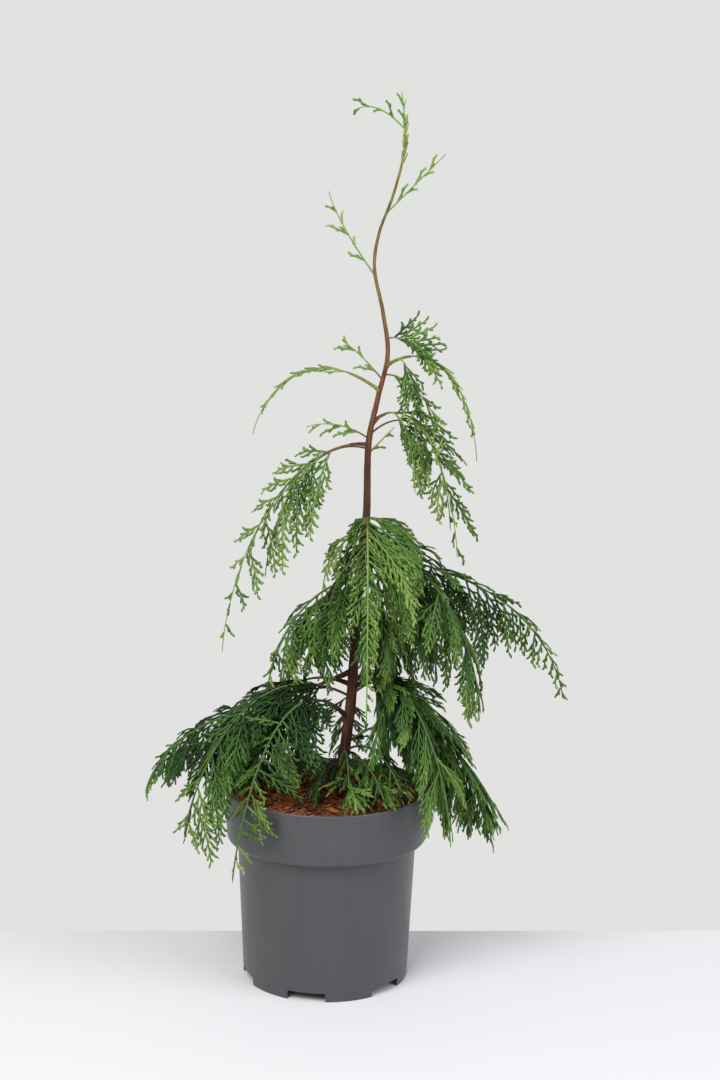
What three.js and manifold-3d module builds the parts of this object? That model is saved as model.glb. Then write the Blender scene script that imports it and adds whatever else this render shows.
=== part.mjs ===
// A young weeping nootka cypress in a round nursery pot, in millimetres, +Z up.
// The origin is the middle of the pot's flat underside, and -Y is the side that faces the viewer.
// A trunk stands on the potting mix. Each frond leaves it as a bare bough and goes on as one or
// two masses of foliage: a drooping stem with twigs that end in flat toothed sprays.

import * as THREE from 'three';
import { mergeVertices } from 'three/addons/utils/BufferGeometryUtils.js';
import Module from 'manifold-3d';

const wasm = await Module();
wasm.setup();

// Pot sizes
const potHeight = 193;
const footRadius = 82.5;
const waistRadius = 89;
const collarRadius = 101;
const collarBottom = 141;
const wall = 2;
const floorThickness = 2.5;
const notchCount = 6;
const notchHeight = 9;
const notchWidth = 38;
const notchDepth = 13;
const firstNotchAngle = -42;
const potSegments = 32;

// Potting mix: level with the wall a little under the rim, and slightly heaped at the trunk
const mixEdgeHeight = 181;
const mixTopHeight = 190;
const mixFlatRadius = 24;

// Clearances: pieces that touch stay this far apart, and foliage keeps this far from other nodes
const seatGap = 0.3;
const foliageGap = 0.7;

// Trunk: height, sideways, backwards and radius at each bend that shows
const trunkStations = [
  [mixTopHeight + seatGap, 11, 0, 8.2],
  [201, 12.5, 0, 5.9],
  [276, 22, 0, 4.9],
  [352, 26, 0, 4.5],
  [430, 31, 2, 4.0],
  [467, 35, 2, 3.5],
  [537, 36, 0, 2.9],
  [580, 44, -1, 2.4],
  [622, 53, 0, 2.1],
  [662, 48, 1, 1.8],
  [705, 39, 2, 1.6],
  [738, 43, 0, 1.45],
  [771, 55, -2, 1.3],
  [811, 65, -3, 1.15],
  [838, 66, -3, 0.95],
];

// One frond each, from the leader down. at: height on the trunk. turn: compass angle, 0 to the
// right, 90 away from the viewer. reach, arch and drop: how far out the tip is, how high the
// middle bows up, how far the tip ends below the start. bow and sag: how soon it bends over and
// falls. bare: share of the frond that is bough. split: where the foliage of a long frond is
// divided in two masses. clear: share of the frond with no sprays. sprays and spray: how many and
// how long. upper and tail: how much shorter they are on the upper side, and past the split.
// roll: 90 puts every second spray under the stem, 0 spreads them to both sides. open: angle
// between stem and spray. droop: how far a spray turns down. twist: turns its flat side. ride:
// the frond goes on from the trunk's tip.
const fronds = [
  { name: 'leader_tip', at: 838, turn: 180, reach: 4, arch: 0, drop: -31, sprays: 2, spray: 18,
    bow: 1, sag: 1, open: 24, droop: 0.1, ride: true },
  { name: 'leader_left', at: 834, turn: 178, reach: 49, arch: 12, drop: -15, sprays: 2,
    spray: 24, bow: 1.2, sag: 1, open: 32, droop: 0, roll: -70 },
  { name: 'top_right', at: 756, turn: -8, reach: 56, arch: 0, drop: -56, sprays: 3, spray: 28,
    bow: 1, sag: 1, open: 24, droop: 0, roll: -70 },
  { name: 'top_left', at: 697, turn: 172, reach: 46, arch: 0, drop: -80, sprays: 4, spray: 34,
    bow: 1.3, sag: 1, open: 30, droop: 0.1 },
  { name: 'fan_right', at: 640, turn: -14, reach: 58, arch: 12, drop: 14, sprays: 5, spray: 42,
    bow: 1.1, sag: 1.4, open: 48, droop: 0, roll: -80, upper: 0.5 },
  { name: 'upper_right', at: 612, turn: 8, reach: 91, arch: 24, drop: 94, sprays: 4, spray: 32,
    bow: 1.5, sag: 1.7, bare: 0.18, open: 22, droop: 0.5, roll: 40 },
  { name: 'upper_curtain', at: 603, turn: -24, reach: 50, arch: 28, drop: 26, sprays: 4,
    spray: 84, bow: 1.3, sag: 1.8, open: 62, droop: 0.95, roll: 62 },
  { name: 'upper_left', at: 588, turn: 176, reach: 123, arch: 38, drop: 44, sprays: 4, spray: 32,
    bow: 1.3, sag: 2, bare: 0.18, open: 20, droop: 0.4, roll: 30 },
  { name: 'upper_left_spray', at: 598, turn: 190, reach: 40, arch: 4, drop: -38, sprays: 2,
    spray: 28, bow: 1.1, sag: 1, open: 34, droop: 0.1 },
  { name: 'right', at: 557, turn: 4, reach: 92, arch: 34, drop: 138, sprays: 7, spray: 78,
    bow: 1.4, sag: 1.5, bare: 0.1, split: 0.46, open: 48, droop: 0.8, roll: 55, upper: 0.6 },
  { name: 'right_front', at: 550, turn: -48, reach: 68, arch: 32, drop: 56, sprays: 4, spray: 82,
    bow: 1.5, sag: 1.6, open: 56, droop: 0.95, roll: 50, twist: 30, clear: 0.2 },
  { name: 'right_back', at: 545, turn: 38, reach: 106, arch: 30, drop: 104, sprays: 4, spray: 74,
    bow: 1.5, sag: 1.7, open: 50, droop: 0.9, roll: 40, clear: 0.3 },
  { name: 'sprig', at: 526, turn: -20, reach: 27, arch: 0, drop: -28, sprays: 2, spray: 16,
    bow: 1, sag: 1, open: 26, droop: 0 },
  { name: 'left', at: 535, turn: 187, reach: 141, arch: 18, drop: 205, sprays: 9, spray: 96,
    bow: 1.5, sag: 1.5, bare: 0.08, split: 0.42, open: 52, droop: 0.9, roll: 66 },
  { name: 'left_spray', at: 541, turn: 176, reach: 62, arch: 8, drop: -10, sprays: 3, spray: 30,
    bow: 1, sag: 1, open: 36, droop: 0.1, roll: 60 },
  { name: 'left_back', at: 531, turn: 150, reach: 118, arch: 14, drop: 140, sprays: 4, spray: 80,
    bow: 1.5, sag: 1.6, open: 52, droop: 0.9, roll: 40, clear: 0.28 },
  { name: 'crown_front', at: 462, turn: -88, reach: 84, arch: 26, drop: 188, sprays: 10,
    spray: 98, bow: 1.9, sag: 1.5, split: 0.4, open: 64, droop: 0.85, roll: 6, twist: 66,
    tail: 0.4 },
  { name: 'crown_right', at: 436, turn: 6, reach: 205, arch: -8, drop: 153, sprays: 9,
    spray: 96, bow: 1.45, sag: 2.1, bare: 0.08, split: 0.44, open: 50, droop: 0.9, roll: 56,
    upper: 0.5 },
  { name: 'crown_low_right', at: 430, turn: -27, reach: 130, arch: 24, drop: 176, sprays: 6,
    spray: 92, bow: 1.5, sag: 1.4, bare: 0.1, open: 42, droop: 0.85, roll: 40 },
  { name: 'crown_left', at: 449, turn: 178, reach: 52, arch: 14, drop: 62, sprays: 3, spray: 62,
    bow: 1.5, sag: 1.8, open: 46, droop: 0.9, roll: 40 },
  { name: 'left_low', at: 402, turn: 194, reach: 90, arch: 8, drop: 114, sprays: 5, spray: 84,
    bow: 1.5, sag: 1.8, open: 46, droop: 0.85, roll: 44 },
  { name: 'back', at: 440, turn: 86, reach: 112, arch: 16, drop: 168, sprays: 5, spray: 84,
    bow: 1.5, sag: 1.7, bare: 0.1, open: 52, droop: 0.85, roll: 20 },
  { name: 'back_left', at: 384, turn: 142, reach: 98, arch: 12, drop: 110, sprays: 4, spray: 84,
    bow: 1.4, sag: 1.8, bare: 0.1, open: 50, droop: 0.85, roll: 30 },
  { name: 'back_right', at: 428, turn: 44, reach: 150, arch: 20, drop: 130, sprays: 5, spray: 92,
    bow: 1.4, sag: 1.8, bare: 0.1, open: 50, droop: 0.85, roll: 30 },
  { name: 'low_left', at: 314, turn: 183, reach: 211, arch: -12, drop: 138, sprays: 9, spray: 118,
    bow: 1.35, sag: 2, bare: 0.1, split: 0.48, open: 42, droop: 0.75, roll: 46 },
  { name: 'low_left_rim', at: 284, turn: 203, reach: 162, arch: 34, drop: 138, sprays: 5,
    spray: 84, bow: 1.3, sag: 2, open: 42, droop: 0.75, roll: 34 },
  { name: 'low_left_front', at: 262, turn: 226, reach: 150, arch: 44, drop: 136, sprays: 5,
    spray: 76, bow: 1.25, sag: 2.2, bare: 0.14, open: 40, droop: 0.6, roll: 12, twist: 30 },
  { name: 'low_right', at: 304, turn: -5, reach: 160, arch: 28, drop: 164, sprays: 9, spray: 112,
    bow: 1.3, sag: 1.45, bare: 0.1, split: 0.44, open: 38, droop: 0.7, roll: 50, upper: 0.5 },
  { name: 'low_right_front', at: 286, turn: -42, reach: 130, arch: 38, drop: 112, sprays: 4,
    spray: 84, bow: 1.25, sag: 1.9, open: 40, droop: 0.7, roll: 24 },
  { name: 'low_back_left', at: 296, turn: 142, reach: 156, arch: 12, drop: 128, sprays: 5,
    spray: 92, bow: 1.3, sag: 1.9, bare: 0.1, open: 44, droop: 0.75, roll: 28 },
  { name: 'low_back_right', at: 294, turn: 40, reach: 150, arch: 14, drop: 130, sprays: 5,
    spray: 92, bow: 1.3, sag: 1.9, bare: 0.1, open: 44, droop: 0.75, roll: 28 },
  { name: 'low_back', at: 276, turn: 92, reach: 150, arch: 22, drop: 150, sprays: 4, spray: 76,
    bow: 1.15, sag: 2.2, bare: 0.18, open: 44, droop: 0.7, roll: 10 },
  { name: 'foot_left', at: 216, turn: 228, reach: 74, arch: 16, drop: 12, sprays: 3, spray: 40,
    bow: 1.1, sag: 1.6, open: 34, droop: 0.2, roll: 0 },
  { name: 'foot_front', at: 222, turn: -84, reach: 66, arch: 18, drop: 18, sprays: 3, spray: 40,
    bow: 1.1, sag: 1.6, open: 34, droop: 0.2, roll: 0 },
  { name: 'foot_right', at: 228, turn: -38, reach: 84, arch: 18, drop: 22, sprays: 3, spray: 42,
    bow: 1.1, sag: 1.6, open: 34, droop: 0.2, roll: 0 },
  { name: 'foot_twig', at: 236, turn: 14, reach: 44, arch: 6, drop: -18, sprays: 2, spray: 24,
    bow: 1.1, sag: 1.2, open: 34, droop: 0.1 },
].map((frond, index) => ({
  index, bare: 0, split: 0, clear: 0, roll: 70, twist: 0, upper: 0.4, tail: 1, ride: false, ...frond,
}));

// Sizes of stems and sprays
const stemRadius = 1.5;
const stemTipRadius = 0.75;
const boughRadius = 2.6;
const sprayThickness = 1.3;
const spineHalfWidth = 0.85;
const bareSpine = 0.16;
const toothPitch = 26;
const toothLength = 37;
const toothAngle = 24;
const tipShare = 0.16;
const stemStep = 30;
const shortestSpray = 12;

const down = new THREE.Vector3(0, 0, -1);
const radians = THREE.MathUtils.degToRad;

// Look of each kind of piece
const finishes = {
  pot: { color: 0x606165, roughness: 0.55, metalness: 0 },
  mix: { color: 0x5a3320, roughness: 0.95, metalness: 0 },
  bark: { color: 0x5b3a2c, roughness: 0.85, metalness: 0 },
  foliage: { color: 0x3f7a35, roughness: 0.6, metalness: 0 },
};

// A repeatable number from 0 to 1 for whole numbers a, b and c.
function chance(a, b, c) {
  const wave = Math.sin(a * 127.1 + b * 311.7 + c * 74.7) * 43758.5453;
  return wave - Math.floor(wave);
}

// The trunk's centre and radius at a height: a cubic between stations, with each slope taken
// from the neighbours on both sides.
function trunkAt(height) {
  const last = trunkStations.length - 1;
  let k = 0;
  while (k < last - 1 && height > trunkStations[k + 1][0]) k += 1;
  const [low, high] = [trunkStations[k], trunkStations[k + 1]];
  const span = high[0] - low[0];
  const s = THREE.MathUtils.clamp((height - low[0]) / span, 0, 1);
  const slope = (i, column) => {
    const [a, b] = [trunkStations[Math.max(i - 1, 0)], trunkStations[Math.min(i + 1, last)]];
    return (b[column] - a[column]) / (b[0] - a[0]);
  };
  const value = (column) => (2 * s ** 3 - 3 * s ** 2 + 1) * low[column]
    + (s ** 3 - 2 * s ** 2 + s) * span * slope(k, column)
    + (3 * s ** 2 - 2 * s ** 3) * high[column]
    + (s ** 3 - s ** 2) * span * slope(k + 1, column);
  return { centre: new THREE.Vector3(value(1), value(2), height), radius: value(3) };
}

// The line of a frond from the trunk's middle (0) to its far tip (1).
class FrondCurve extends THREE.Curve {
  constructor(frond) {
    super();
    this.frond = frond;
    this.start = trunkAt(frond.at).centre;
  }

  getPoint(t, target = new THREE.Vector3()) {
    const f = this.frond;
    const heading = radians(f.turn);
    const out = f.reach * (1 - (1 - t) ** f.bow);
    const rise = 4 * f.arch * t * (1 - t) - f.drop * t ** f.sag;
    return target.set(out * Math.cos(heading), out * Math.sin(heading), rise).add(this.start);
  }
}

// A spray's line: it leaves its root along heading and turns down by droop.
class SprayCurve extends THREE.Curve {
  constructor(root, heading, length, droop) {
    super();
    Object.assign(this, { root, heading, length, droop });
  }

  getPoint(t, target = new THREE.Vector3()) {
    const turned = 0.5 * this.droop * t * t;
    return target.copy(this.root)
      .addScaledVector(this.heading, this.length * (t - turned))
      .addScaledVector(down, this.length * turned);
  }
}

// The stretch of a curve from one parameter to another, as a curve of its own.
class Stretch extends THREE.Curve {
  constructor(whole, from, to) {
    super();
    Object.assign(this, { whole, from, to });
  }

  getPoint(t, target = new THREE.Vector3()) {
    return this.whole.getPoint(this.from + (this.to - this.from) * t, target);
  }
}

// A closed solid from a three.js geometry: only its positions are kept, with doubles merged.
function solidFrom(geometry) {
  const bare = geometry.index ? geometry.toNonIndexed() : geometry.clone();
  Object.keys(bare.attributes).filter((key) => key !== 'position')
    .forEach((key) => bare.deleteAttribute(key));
  const merged = mergeVertices(bare, 1e-4);
  return new wasm.Manifold(new wasm.Mesh({
    numProp: 3,
    vertProperties: Float32Array.from(merged.attributes.position.array),
    triVerts: Uint32Array.from(merged.index.array),
  }));
}

// The solid of a geometry, with its faces turned over where they point inwards.
function closedSolid(geometry) {
  const solid = solidFrom(geometry);
  return solid.volume() < 0 ? solidFrom(flipped(geometry)) : solid;
}

// A named mesh from a solid. A loose scrap that a cut left behind is dropped.
function meshFrom(solid, name, finish) {
  const [body] = solid.decompose().sort((a, b) => b.volume() - a.volume());
  const { vertProperties, triVerts, numProp } = body.getMesh();
  const geometry = new THREE.BufferGeometry();
  const count = vertProperties.length / numProp;
  const positions = new Float32Array(count * 3);
  for (let i = 0; i < count; i += 1) {
    positions.set(vertProperties.subarray(i * numProp, i * numProp + 3), i * 3);
  }
  geometry.setAttribute('position', new THREE.BufferAttribute(positions, 3));
  geometry.setIndex(new THREE.BufferAttribute(new Uint32Array(triVerts), 1));
  geometry.computeVertexNormals();
  const mesh = new THREE.Mesh(geometry, new THREE.MeshStandardMaterial(finishes[finish]));
  mesh.name = name;
  return mesh;
}

// A limb: a cylinder of the given sides bent along a curve, its radius given along it from 0 to 1.
function limb(curve, radiusAt, sides, steps) {
  const geometry = new THREE.CylinderGeometry(1, 1, 1, sides, steps);
  const frames = curve.computeFrenetFrames(steps, false);
  const position = geometry.attributes.position;
  for (let i = 0; i < position.count; i += 1) {
    const ring = Math.round((0.5 - position.getY(i)) * steps);
    const radius = radiusAt(ring / steps);
    const point = curve.getPointAt(ring / steps)
      .addScaledVector(frames.normals[ring], position.getX(i) * radius)
      .addScaledVector(frames.binormals[ring], position.getZ(i) * radius);
    position.setXYZ(i, point.x, point.y, point.z);
  }
  return closedSolid(geometry);
}

// The same geometry with every face turned over.
function flipped(geometry) {
  const turned = geometry.toNonIndexed();
  const position = turned.attributes.position;
  const corner = new THREE.Vector3();
  for (let i = 0; i < position.count; i += 3) {
    corner.fromBufferAttribute(position, i + 1);
    position.setXYZ(i + 1, position.getX(i + 2), position.getY(i + 2), position.getZ(i + 2));
    position.setXYZ(i + 2, corner.x, corner.y, corner.z);
  }
  return turned;
}

// A spray: a flat rib along its curve, bare at its root, with slanting teeth that alternate from
// side to side and get shorter towards the tip. Its teeth lie along across. Each ring of the rib
// has a left edge, a right edge and a ridge, and one of its edges is drawn out into a tooth.
function spray(curve, across) {
  const length = curve.getLength();
  const begin = length * bareSpine;
  const rings = Math.max(3, Math.round((2 * (length - begin)) / toothPitch));
  const pitch = (length * 0.94 - begin) / rings;
  const corners = [[-1, -spineHalfWidth, 0], [-1, spineHalfWidth, 0], [-1, 0, 1]];
  const faces = [[0, 1, 2]];
  for (let k = 0; k <= rings; k += 1) {
    const x = begin + pitch * k;
    const tooth = Math.min(toothLength, length * 0.5) * (1 - (0.62 * k) / rings);
    const tipX = Math.min(x + tooth * Math.cos(radians(toothAngle)), length * 0.99);
    const tipY = spineHalfWidth + tooth * Math.sin(radians(toothAngle));
    const toothed = k === rings ? 0 : 1 - 2 * (k % 2);
    corners.push(toothed < 0 ? [tipX, -tipY, 0] : [x, -spineHalfWidth, 0]);
    corners.push(toothed > 0 ? [tipX, tipY, 0] : [x, spineHalfWidth, 0]);
    corners.push([x, 0, 1]);
    const [left, right, ridge] = [3 * k + 3, 3 * k + 4, 3 * k + 5];
    faces.push([ridge - 3, left, left - 3], [ridge - 3, ridge, left]);
    faces.push([ridge - 3, right - 3, right], [ridge - 3, right, ridge]);
    if (toothed < 0) faces.push([left - 3, right, right - 3], [left - 3, left, right]);
    else faces.push([right - 3, left - 3, left], [right - 3, left, right]);
  }
  const last = 3 * rings + 3;
  corners.push([length, 0, 0]);
  faces.push([last + 2, last + 3, last], [last + 2, last + 1, last + 3], [last, last + 3, last + 1]);
  const positions = corners.flatMap(([x, y, z]) => {
    const t = THREE.MathUtils.clamp(x / length, 0, 1);
    const tangent = curve.getTangent(t);
    const width = across.clone().addScaledVector(tangent, -across.dot(tangent)).normalize();
    return curve.getPoint(t)
      .addScaledVector(tangent, Math.min(x, 0))
      .addScaledVector(width, y)
      .addScaledVector(tangent.clone().cross(width), (z - 0.5) * sprayThickness)
      .toArray();
  });
  const geometry = new THREE.BufferGeometry();
  geometry.setAttribute('position', new THREE.Float32BufferAttribute(positions, 3));
  geometry.setIndex(faces.flat());
  return closedSolid(geometry);
}

// Every solid that stands so far, with the name of its node and its bounds
const placed = [];

function boundsOf(solid) {
  const { min, max } = solid.boundingBox();
  return new THREE.Box3(new THREE.Vector3(...min), new THREE.Vector3(...max));
}

function place(node, solid) {
  placed.push({ node, solid, bounds: boundsOf(solid) });
  return solid;
}

// True where a solid keeps the foliage gap to everything that stands in other nodes.
function isClear(node, solid) {
  const bounds = boundsOf(solid).expandByScalar(foliageGap);
  return placed.every((other) => other.node === node || !bounds.intersectsBox(other.bounds)
    || solid.minGap(other.solid, foliageGap) >= foliageGap);
}

// How long a spray is at a share of its frond: short at the trunk and towards the tip.
function sprayProfile(t) {
  return Math.min(1, 0.45 + 2.2 * t) * (1 - 0.62 * t ** 1.5);
}

// Pot: a turned shell with a collar, and drain notches cut through the corner of its foot.
function makePot() {
  const profile = [
    [0, 0], [footRadius, 0], [waistRadius, collarBottom - 5], [94, collarBottom],
    [99.2, collarBottom + 5], [collarRadius - 0.6, collarBottom + 13],
    [collarRadius, potHeight - 4], [collarRadius - 0.8, potHeight],
    [collarRadius - wall, potHeight], [collarRadius - wall - 0.6, collarBottom + 14],
    [waistRadius - wall, collarBottom - 3], [footRadius - wall, floorThickness],
    [0, floorThickness],
  ].map(([r, z]) => new THREE.Vector2(r, z));
  const turned = new THREE.LatheGeometry(profile, potSegments).rotateX(Math.PI / 2);
  let pot = closedSolid(turned);
  for (let k = 0; k < notchCount; k += 1) {
    const notch = new THREE.BoxGeometry(notchDepth, notchWidth, notchHeight * 2);
    notch.translate(footRadius + 2 - notchDepth / 2, 0, 0);
    notch.rotateZ(radians(firstNotchAngle + (360 / notchCount) * k));
    pot = pot.subtract(solidFrom(notch));
  }
  return pot;
}

// Potting mix: it fills the pot, clear of the wall by the seat gap.
function makeMix() {
  const fit = wall + seatGap;
  const profile = [
    [0, floorThickness + seatGap], [footRadius - fit - 0.1, floorThickness + seatGap],
    [waistRadius - fit - 0.2, collarBottom - 3], [collarRadius - fit - 1, collarBottom + 15],
    [collarRadius - fit - 0.8, mixEdgeHeight], [70, mixEdgeHeight + 3],
    [mixFlatRadius, mixTopHeight], [0, mixTopHeight],
  ].map(([r, z]) => new THREE.Vector2(r, z));
  const turned = new THREE.LatheGeometry(profile, potSegments).rotateX(Math.PI / 2);
  return closedSolid(turned);
}

// Trunk: its true line and taper, with a flare at the foot. grow widens it, for cutting seats.
function makeTrunk(grow = 0) {
  const heights = trunkStations.map((station) => station[0]);
  const middles = heights.slice(5, -1).map((height, k) => (height + heights[k + 6]) / 2);
  const rings = [...heights, ...middles].sort((a, b) => a - b);
  const geometry = new THREE.CylinderGeometry(1, 1, 1, 8, rings.length - 1);
  const position = geometry.attributes.position;
  for (let i = 0; i < position.count; i += 1) {
    const ring = Math.round((position.getY(i) + 0.5) * (rings.length - 1));
    const { centre, radius } = trunkAt(rings[ring]);
    const lift = grow && (ring === 0 ? -grow : (ring === rings.length - 1) * grow);
    position.setXYZ(i, centre.x + position.getZ(i) * (radius + grow),
      centre.y + position.getX(i) * (radius + grow), rings[ring] + lift);
  }
  return solidFrom(geometry);
}

// The radius of a frond's own limb at a share of its line.
function limbRadius(t) {
  return THREE.MathUtils.lerp(stemRadius, stemTipRadius, t);
}

// Bough: a tapering limb, seated against the trunk's side.
function makeBough(frond, line, seat) {
  const end = limbRadius(frond.bare) + 0.3;
  const curve = new Stretch(line, 0, frond.bare);
  return limb(curve, (s) => THREE.MathUtils.lerp(boughRadius, end, s), 5, 4).subtract(seat);
}

// Stem of a mass: a three-sided limb, and where the frond ends in this mass, its tip spray.
function makeStem(frond, line, from, to, seat) {
  const end = to === 1 ? 1 - tipShare * 0.6 : to;
  const curve = new Stretch(line, from, end);
  const radiusAt = (s) => limbRadius(THREE.MathUtils.lerp(from, end, s));
  let stem = limb(curve, radiusAt, 3, Math.ceil(curve.getLength() / stemStep));
  if (from < 0.01) stem = stem.subtract(seat);
  if (to < 1) return stem;
  const tangent = line.getTangent(0.95);
  const across = levelAcross(frond).cross(tangent).applyAxisAngle(tangent, radians(frond.twist));
  return stem.add(spray(new Stretch(line, 1 - tipShare, 1), across));
}

// The level direction across a frond.
function levelAcross(frond) {
  const heading = radians(frond.turn);
  return new THREE.Vector3(-Math.sin(heading), Math.cos(heading), 0);
}

// The sprays of one mass, seated on its stem. One that would touch another node is tried
// shorter, and then left out.
function makeSprays({ frond, line, name, from, to }) {
  const solids = [];
  const share = to - from;
  const count = Math.max(2, Math.round((frond.sprays * share) / (1 - frond.bare)));
  const first = Math.max((frond.clear - from) / share, from === 0 ? 0.14 : 0.04);
  const roll = radians(frond.roll);
  const open = radians(frond.open);
  for (let k = 0; k < count; k += 1) {
    const jitter = chance(frond.index, k, Math.round(from * 10)) - 0.5;
    const t = from + share * (first + (0.9 - first) * ((k + 0.5 + 0.5 * jitter) / count));
    const side = k % 2 === 0 ? 1 : -1;
    const tangent = line.getTangent(t);
    const upward = levelAcross(frond).cross(tangent).normalize();
    if (upward.z < 0) upward.negate();
    const outward = levelAcross(frond).multiplyScalar(side * Math.cos(roll))
      .addScaledVector(upward, -side * Math.sin(roll));
    const direction = tangent.clone().multiplyScalar(Math.cos(open))
      .addScaledVector(outward, Math.sin(open));
    const under = side > 0 ? 1 : THREE.MathUtils.lerp(1, frond.upper, Math.abs(Math.sin(roll)));
    const tail = frond.split > 0 && t > frond.split ? frond.tail : 1;
    const wanted = frond.spray * sprayProfile(t) * under * tail
      * (0.88 + 0.24 * chance(frond.index, k, 5));
    const spin = radians(frond.twist + 40 * (chance(frond.index, k, 9) - 0.5));
    for (const length of [wanted, wanted * 0.75, wanted * 0.5]) {
      const path = new SprayCurve(line.getPoint(t), direction, length, frond.droop);
      const across = tangent.clone().applyAxisAngle(path.getTangent(0.7), spin);
      const solid = spray(path, across);
      if (length > shortestSpray && isClear(name, solid)) {
        solids.push(place(name, solid));
        break;
      }
    }
  }
  return solids;
}

const model = new THREE.Group();
const trunk = makeTrunk();
const seat = makeTrunk(seatGap);
for (const [name, solid, finish] of [
  ['pot', makePot(), 'pot'], ['potting_mix', makeMix(), 'mix'], ['trunk', trunk, 'bark'],
]) {
  place(name, solid);
  model.add(meshFrom(solid, name, finish));
}

// Boughs and stems come first, so that every spray can keep clear of all of them
const masses = [];
for (const frond of fronds) {
  const line = new FrondCurve(frond);
  const gap = (seatGap * 1.6) / line.getLength();
  if (frond.bare > 0) {
    const bough = place(`bough_${frond.name}`, makeBough(frond, line, seat));
    model.add(meshFrom(bough, `bough_${frond.name}`, 'bark'));
  }
  const begin = frond.bare + (frond.bare > 0 || frond.ride ? gap : 0);
  const stretches = frond.split > 0
    ? [[`${frond.name}_inner`, begin, frond.split], [`${frond.name}_outer`, frond.split + gap, 1]]
    : [[frond.name, begin, 1]];
  for (const [label, from, to] of stretches) {
    const name = `foliage_${label}`;
    const stem = place(name, makeStem(frond, line, from, to, seat));
    masses.push({ frond, line, name, from, to, stem });
  }
}

for (const mass of masses) {
  const solid = wasm.Manifold.union([mass.stem, ...makeSprays(mass)]);
  model.add(meshFrom(solid, mass.name, 'foliage'));
}

export default model;
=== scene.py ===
# %% [markdown]
# A young weeping nootka cypress in a nursery pot.
# The plant is a thin kinked trunk with drooping boughs. Each bough goes on as a stem from which
# flat sprays hang, and each spray branches twice more, down to shoots covered in scale leaves.
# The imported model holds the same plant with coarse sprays. Here the same rule is carried on to
# the finest shoots, and the bark, the pot and the potting mix get their surfaces.

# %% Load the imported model
import bpy
import numpy as np
from mathutils import Matrix, Vector


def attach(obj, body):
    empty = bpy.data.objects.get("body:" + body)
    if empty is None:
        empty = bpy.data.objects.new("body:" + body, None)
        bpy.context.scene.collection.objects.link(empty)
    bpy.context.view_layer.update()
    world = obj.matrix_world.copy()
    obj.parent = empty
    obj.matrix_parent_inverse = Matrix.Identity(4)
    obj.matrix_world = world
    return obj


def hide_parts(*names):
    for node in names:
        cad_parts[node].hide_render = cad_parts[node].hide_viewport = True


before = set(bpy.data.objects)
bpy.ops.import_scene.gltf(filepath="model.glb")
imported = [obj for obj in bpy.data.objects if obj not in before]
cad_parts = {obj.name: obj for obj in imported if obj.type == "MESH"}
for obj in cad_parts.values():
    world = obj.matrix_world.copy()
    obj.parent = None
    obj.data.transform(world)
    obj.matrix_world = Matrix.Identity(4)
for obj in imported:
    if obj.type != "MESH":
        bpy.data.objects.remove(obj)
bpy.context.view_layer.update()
MM = 0.001

# %% [markdown]
# The camera stands 1.7 m away and 0.71 m up, and looks down by 9 degrees. It leans by less than
# a degree. Its lens takes a 720 by 1080 picture with the long side upright.

# %% Camera
CAMERA_PLACE = (0.029, -1.7148, 0.7115)
LOOK_DOWN = np.radians(8.94)
LEAN = np.radians(0.84)
LENS_MM, SENSOR_MM = 59.21, 36


def make_camera():
    """A camera whose axes are sideways and upwards, both turned by the lean, and backwards."""
    ahead = Vector((0, np.cos(LOOK_DOWN), -np.sin(LOOK_DOWN)))
    side, top = Vector((1, 0, 0)), Vector((0, np.sin(LOOK_DOWN), np.cos(LOOK_DOWN)))
    leant_side = side * np.cos(LEAN) + top * np.sin(LEAN)
    leant_top = top * np.cos(LEAN) - side * np.sin(LEAN)
    data = bpy.data.cameras.new("camera")
    data.lens, data.sensor_width = LENS_MM, SENSOR_MM
    camera = bpy.data.objects.new("camera", data)
    turned = Matrix((leant_side, leant_top, -ahead)).transposed().to_4x4()
    camera.matrix_world = Matrix.Translation(CAMERA_PLACE) @ turned
    bpy.context.collection.objects.link(camera)
    bpy.context.scene.camera = camera
    return camera


print("camera at", tuple(round(x, 3) for x in make_camera().location))

# %% [markdown]
# Everything irregular comes from two helpers: chance, the part's own repeatable random number,
# and noise, which joins such numbers smoothly in space. No random state is kept, so each run
# grows the same plant.

# %% Repeatable chance and noise


def chance(a, b, c):
    """From 0 to 1: the fraction left of 43758.5453 times the sine of 127.1 a + 311.7 b + 74.7 c."""
    wave = np.sin(np.asarray(a) * 127.1 + np.asarray(b) * 311.7 + np.asarray(c) * 74.7) * 43758.5453
    return wave - np.floor(wave)


def noise(points):
    """Smooth numbers from 0 to 1: chance at the corners of unit cells, blended by 3f^2 - 2f^3."""
    cell = np.floor(points)
    part = points - cell
    part = part * part * (3 - 2 * part)
    total = np.zeros(points.shape[:-1])
    for corner in np.ndindex(2, 2, 2):
        weight = np.prod(np.where(corner, part, 1 - part), axis=-1)
        x, y, z = np.moveaxis(cell + corner, -1, 0)
        total += weight * chance(x, y, z)
    return total


def unit(vectors):
    """The same directions with length 1."""
    return vectors / np.maximum(np.linalg.norm(vectors, axis=-1, keepdims=True), 1e-9)


def lerp(a, b, share):
    """The value that lies share of the way from a to b."""
    return a + (b - a) * share


# %% [markdown]
# Finishes. Colours are written as sRGB hex values and turned to linear light once. One function
# adds a node with its settings and links, and one starts a material from its base colour.

# %% Colour and node helpers


def linear(hex_colour):
    """Linear RGBA of an sRGB hex colour: c / 12.92 below 0.04045, else ((c + 0.055) / 1.055)^2.4."""
    c = np.array([int(hex_colour[i:i + 2], 16) for i in (1, 3, 5)]) / 255
    c = np.where(c <= 0.04045, c / 12.92, ((c + 0.055) / 1.055) ** 2.4)
    return (*c.tolist(), 1.0)


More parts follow.
